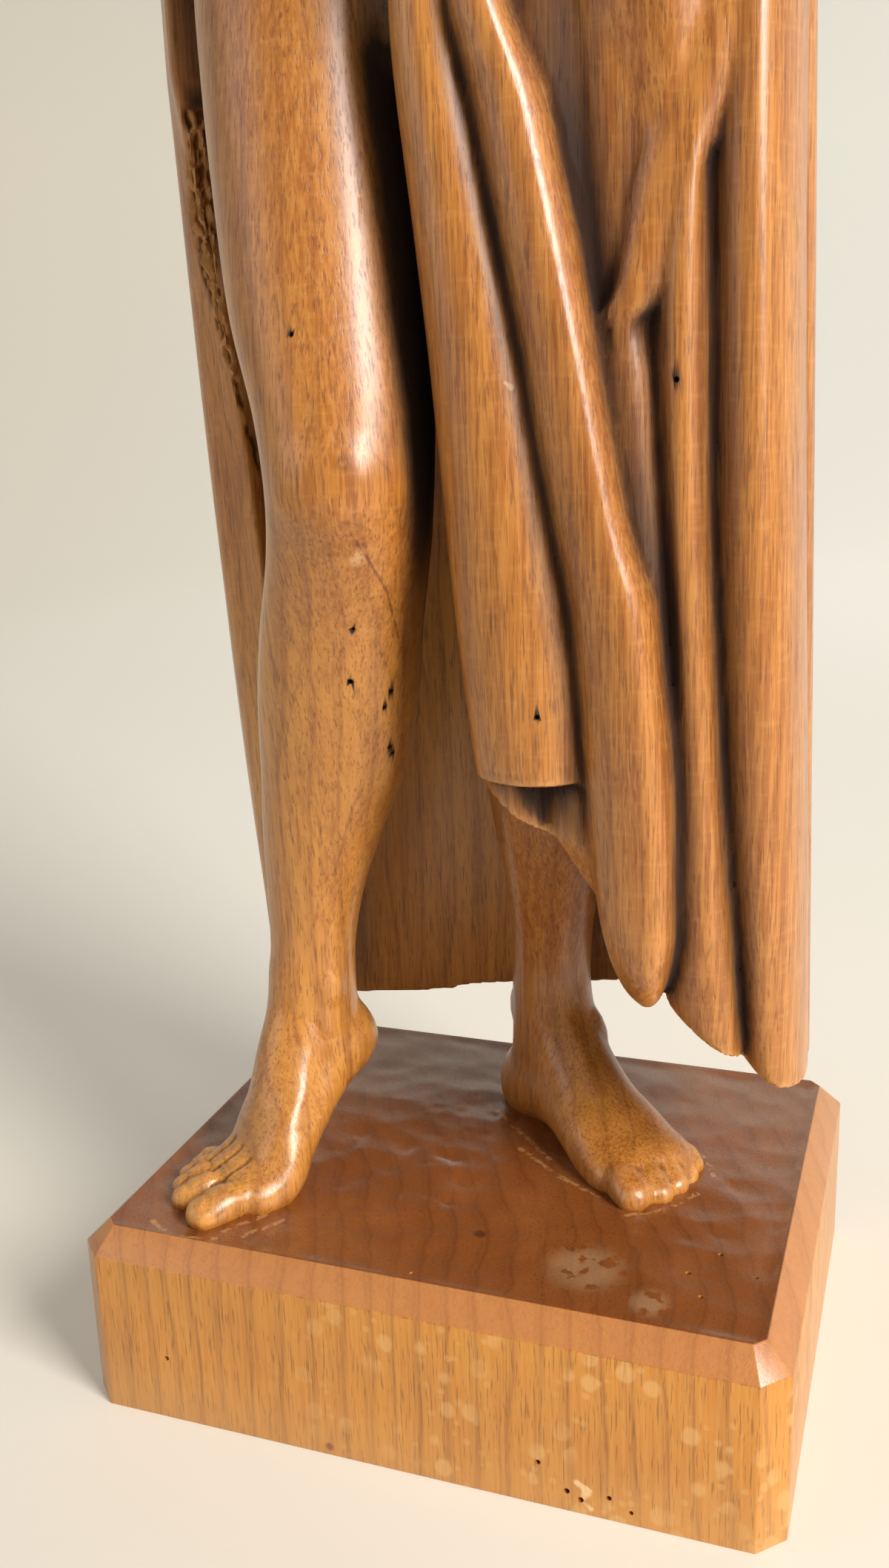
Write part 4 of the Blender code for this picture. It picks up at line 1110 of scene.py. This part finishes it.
def scratch(places, width):
    """A thin line over the surface along places in the frame, wavering a little."""
    line = 0
    for start, end in zip(places, places[1:]):
        start, end = marked(*start), marked(*end)
        way = end - start
        out = node("ShaderNodeVectorMath", {"operation": "SUBTRACT"}, {0: position, 1: start})
        share = way / way.length_squared
        along = node("ShaderNodeVectorMath", {"operation": "DOT_PRODUCT"}, {0: out, 1: share}, 1)
        along = along.math("MAXIMUM", 0).math("MINIMUM", 1)
        foot = node("ShaderNodeVectorMath", {"operation": "SCALE"}, {0: way, 3: along})
        away = node("ShaderNodeVectorMath", {"operation": "DISTANCE"}, {0: out, 1: foot}, 1) * 1000
        away = away + waver * width
        line = away.to(width, width * 0.3) + line
    return line.math("MINIMUM", 1)


# Small marks, at their places across and down the frame.
KNEE_KNOT, WORN_SPOT, CALF_SPOT = (463, 625), (481, 753), (472, 920)
KNEE_CRACK = [(474, 721), (500, 760), (522, 798), (538, 861)]
FOLD_NICK = [(682, 517), (690, 523)]
CALF_VEINS = [[(420, 800), (404, 905), (384, 1010)], [(512, 1010), (476, 1090), (450, 1180)]]
KNEE_LINES = [[(505, 612), (528, 640)], [(420, 690), (470, 706), (520, 700)]]
FRONT_SPOT = (445, 1952)
WORM_TRACK = [(780, 2002), (792, 2012), (788, 2024), (799, 2036)]
WORN_PATCH, WORN_EDGE, TOP_DENT = (790, 1712), (876, 1758), (648, 1665)
CHISEL_LINES = [
    [(207, 1648), (232, 1668), (290, 1672)],
    [(300, 1662), (356, 1640), (404, 1606)],
    [(330, 1668), (382, 1646)],
    [(392, 1622), (410, 1590)],
    [(660, 1490), (706, 1530), (745, 1568)],
    [(700, 1548), (760, 1590), (830, 1622)],
    [(845, 1640), (900, 1632), (940, 1612)],
    [(950, 1560), (966, 1590)],
]

# The colour is built up in layers: the wood, its rings and pores, the marks, old wax, and painted shade deep
# between forms.
honey = blend(drift.to(0.35, 0.65), colour(200, 134, 52), colour(172, 104, 34))
folds = x.to(-2, 16) * z.to(75, 120)
legs = x.to(8, -6)
knot = round_mark(*KNEE_KNOT, 0.3, 3.2) * (1 - round_mark(*KNEE_KNOT, 0.4, 1.3) * 0.7)
worn_spot = round_mark(*WORN_SPOT, 0.5, 3.0) * clouds(1.5, 1.5, 1.5, 17).to(0.4, 0.6)
# Painted shade: wood that lies deep between other forms is darkened almost to black, as shade falls there.
painted_shade = deep_value.to(0.18, 0.48) * (1 - 0.8 * raw_value) * z.to(60, 85) * z.to(440, 400)
tone = layered(
    honey,
    (folds * 0.5, 152, 86, 26),
    # Painted light and shade, partly the wood's own yellower tone: the lower legs lighter, as if more lit,
    # the thighs darker, as if shaded.
    (legs * z.to(250, 190) * 0.55, 216, 152, 66),
    (legs * z.to(265, 320) * 0.5, 160, 96, 34),
    (streaks.to(0.4, 0.66) * 0.5, 146, 80, 28),
    (fibres.to(0.38, 0.62) * 0.45, 214, 150, 76),
    (late * 0.38, 124, 62, 22),
    (ripple.to(0.5, 0.72) * 0.14, 222, 160, 84),
    (pores * 0.5, 96, 46, 16),
    (coarse * 0.3, 86, 40, 14),
    (hollow_value.to(-0.15, -0.8) * 0.25, 224, 166, 104),
    (knot * 0.7, 104, 56, 20),
    (worn_spot * 0.6, 222, 186, 138),
    (round_mark(*CALF_SPOT, 0.6, 1.0) * 0.7, 120, 52, 20),
    (scratch(KNEE_CRACK, 0.5) * 0.55, 84, 44, 18),
    (scratch(FOLD_NICK, 0.7) * 0.6, 228, 192, 146),
    *[(scratch(vein, 0.6) * 0.25, 96, 50, 18) for vein in CALF_VEINS + KNEE_LINES],
    (hollow_value.to(0.15, 0.9) * 0.6, 62, 28, 10),
    (raw_value * (1 - hollow_value.to(0.0, 0.4)) * 0.75, 196, 146, 88),
    (painted_shade * 0.97, 28, 9, 2),
)

worn = round_mark(*WORN_PATCH, 4, 13) + round_mark(*WORN_EDGE, 2, 7)
worn = (worn * clouds(5, 5, 5, 41, 3).to(0.40, 0.47)).math("MINIMUM", 1)
chips = clouds(2.5, 2.5, 2.5, 47, 3).to(0.42, 0.55)
top_wood = layered(
    blend(late * 0.4, colour(134, 76, 34), colour(88, 44, 18)),
    (clouds(16, 26, 20, 12, 3).to(0.45, 0.7) * 0.5, 152, 90, 46),
    (pores * 0.4, 66, 32, 16),
    (y.to(20, 70) * 0.35, 128, 90, 66),
    (worn * 0.6, 168, 132, 96),
    *[(scratch(line, 1.0) * chips * 0.6, 196, 146, 92) for line in CHISEL_LINES],
    (round_mark(*TOP_DENT, 0.8, 2.4) * 0.7, 54, 26, 14),
)

spots = node("ShaderNodeTexVoronoi", {}, {"Vector": stretched(7.5, 7.5, 8.5, 3), "Scale": 1.0})
fine_spots = node("ShaderNodeTexVoronoi", {}, {"Vector": stretched(4.2, 4.2, 4.2, 8), "Scale": 1.0})
where = clouds(20, 20, 24, 21, 1).to(0.42, 0.56) * x.to(-50, 0)
splashes = (spots.to(0.38, 0.24) + fine_spots.to(0.3, 0.16) * 0.7).math("MINIMUM", 1) * where
front_wood = layered(
    blend(clouds(26, 26, 40, 14, 3).to(0.4, 0.7) * 0.5, colour(200, 130, 40), colour(178, 106, 30)),
    (late * 0.55, 128, 70, 20),
    (fibres.to(0.35, 0.62) * 0.35, 216, 158, 74),
    (pores * 0.5, 112, 64, 24),
    (z.to(22, 0) * 0.3, 212, 160, 90),
    (splashes * 0.38, 226, 182, 118),
    (round_mark(*FRONT_SPOT, 0.6, 1.6) * 0.7, 110, 40, 16),
    (scratch(WORM_TRACK, 1.3) * 0.8, 236, 202, 150),
)
chamfer_wood = blend(late * 0.3, colour(186, 120, 66), colour(142, 84, 42))
tone = blend(chamfer * 0.75, blend(side, blend(top, tone, top_wood), front_wood), chamfer_wood)
tree.links.new(tone.socket, shader.inputs["Base Color"])

# Waxed wood shines, most of all on the plinth's top. Raw, sawn and hollow wood is dull, and so is the wood
# deep between forms that is painted in shade.
shine = 0.28 + 0.12 * fibres + 0.10 * pores + 0.35 * raw_value + 0.16 * side - 0.08 * top
shine = shine + 0.12 * hollow_value.to(0.1, 0.8) + splashes * side * 0.1
shine = shine + hollow_value.to(0.05, 0.35) * 0.35 + painted_shade * 0.4
tree.links.new(shine.socket, shader.inputs["Roughness"])
shader.inputs["Metallic"].default_value = 0.0
polish = (1 - hollow_value.to(0.03, 0.3)) * (1 - painted_shade) * (1 - raw_value) * 0.6
tree.links.new(polish.socket, shader.inputs["Coat Weight"])
shader.inputs["Coat Roughness"].default_value = 0.3
relief = 0.5 - 0.4 * pores - 0.35 * coarse + 0.2 * fibres
bump = node("ShaderNodeBump", {}, {"Strength": 0.5, "Distance": 0.12 * MM, "Height": relief})
tree.links.new(bump.socket, shader.inputs["Normal"])

figure.data.materials.clear()
figure.data.materials.append(wood)
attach(figure, "root")
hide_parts("nude_on_plinth")

# A plain pale floor that sweeps up into a round wall, a broad soft light from the front right, as
# from a window, and a weaker, cooler one from the left. Floor and wall glow faintly with painted light:
# whiter and brighter on the right, warmer and dimmer on the left, and dim in front, as if lit from the right.
FLOOR_REACH, SWEEP, WALL = 1.8, 0.7, 2.2
rim = [(0.02, 0), (0.5, 0), (1.1, 0), (FLOOR_REACH, 0)]
rim += [(FLOOR_REACH + SWEEP * math.sin(a), SWEEP - SWEEP * math.cos(a)) for a in np.linspace(0.2, 1.57, 8)]
rim.append((FLOOR_REACH + SWEEP, WALL))
turns = 64
floor_points = []
for radius, height in rim:
    for k in range(turns):
        angle = 2 * math.pi * k / turns
        floor_points.append((radius * math.cos(angle), radius * math.sin(angle), height))
floor_faces = [tuple(range(turns))]
for r in range(len(rim) - 1):
    for k in range(turns):
        n = (k + 1) % turns
        floor_faces.append((r * turns + k, (r + 1) * turns + k, (r + 1) * turns + n, r * turns + n))
floor_mesh = bpy.data.meshes.new("floor")
floor_mesh.from_pydata(floor_points, [], floor_faces)
floor_mesh.shade_smooth()
floor = bpy.data.objects.new("floor", floor_mesh)
bpy.context.scene.collection.objects.link(floor)
pale = bpy.data.materials.new("pale_floor")
pale.use_nodes = True
tree = pale.node_tree
floor_place = node("ShaderNodeTexCoord", {}, {}, 3)
floor_x, floor_y = (node("ShaderNodeSeparateXYZ", {}, {0: floor_place}, k) for k in range(2))
# Painted light: the glow is brighter and whiter to the right, dimmer to the left and in front, as if lit from
# the right.
behind = floor_y.to(-0.6, 1.6)
painted_wall_light = blend(floor_x.to(-2.2, 0.6), (0.19, 0.17, 0.14, 1), (0.48, 0.48, 0.45, 1))
painted_wall_light = blend(behind, (0.06, 0.06, 0.055, 1), painted_wall_light)
backdrop = tree.nodes["Principled BSDF"]
backdrop.inputs["Base Color"].default_value = colour(218, 212, 200)
backdrop.inputs["Roughness"].default_value = 0.7
backdrop.inputs["Emission Strength"].default_value = 1.0
tree.links.new(painted_wall_light.socket, backdrop.inputs["Emission Color"])
floor_mesh.materials.append(pale)

world = bpy.data.worlds.new("room")
bpy.context.scene.world = world
world.use_nodes = True
world.node_tree.nodes["Background"].inputs["Color"].default_value = (0.92, 0.92, 0.90, 1)
world.node_tree.nodes["Background"].inputs["Strength"].default_value = 0.30
for name, spot, size, watts, tint in (
    ("window", (1.26, -0.68, 1.02), (0.6, 1.0), 10.8, (1.0, 0.95, 0.90)),
    ("fill", (-1.3, -0.9, 0.8), (1.0, 1.2), 1, (0.88, 0.93, 1.0)),
):
    lamp = bpy.data.lights.new(name, "AREA")
    lamp.shape = "RECTANGLE"
    lamp.size, lamp.size_y = size
    lamp.energy = watts
    lamp.color = tint
    lamp.spread = math.radians(90)
    light = bpy.data.objects.new(name, lamp)
    bpy.context.scene.collection.objects.link(light)
    light.location = spot
    light.rotation_euler = (Vector((0, 0, 0.2)) - Vector(spot)).to_track_quat("-Z", "Y").to_euler()
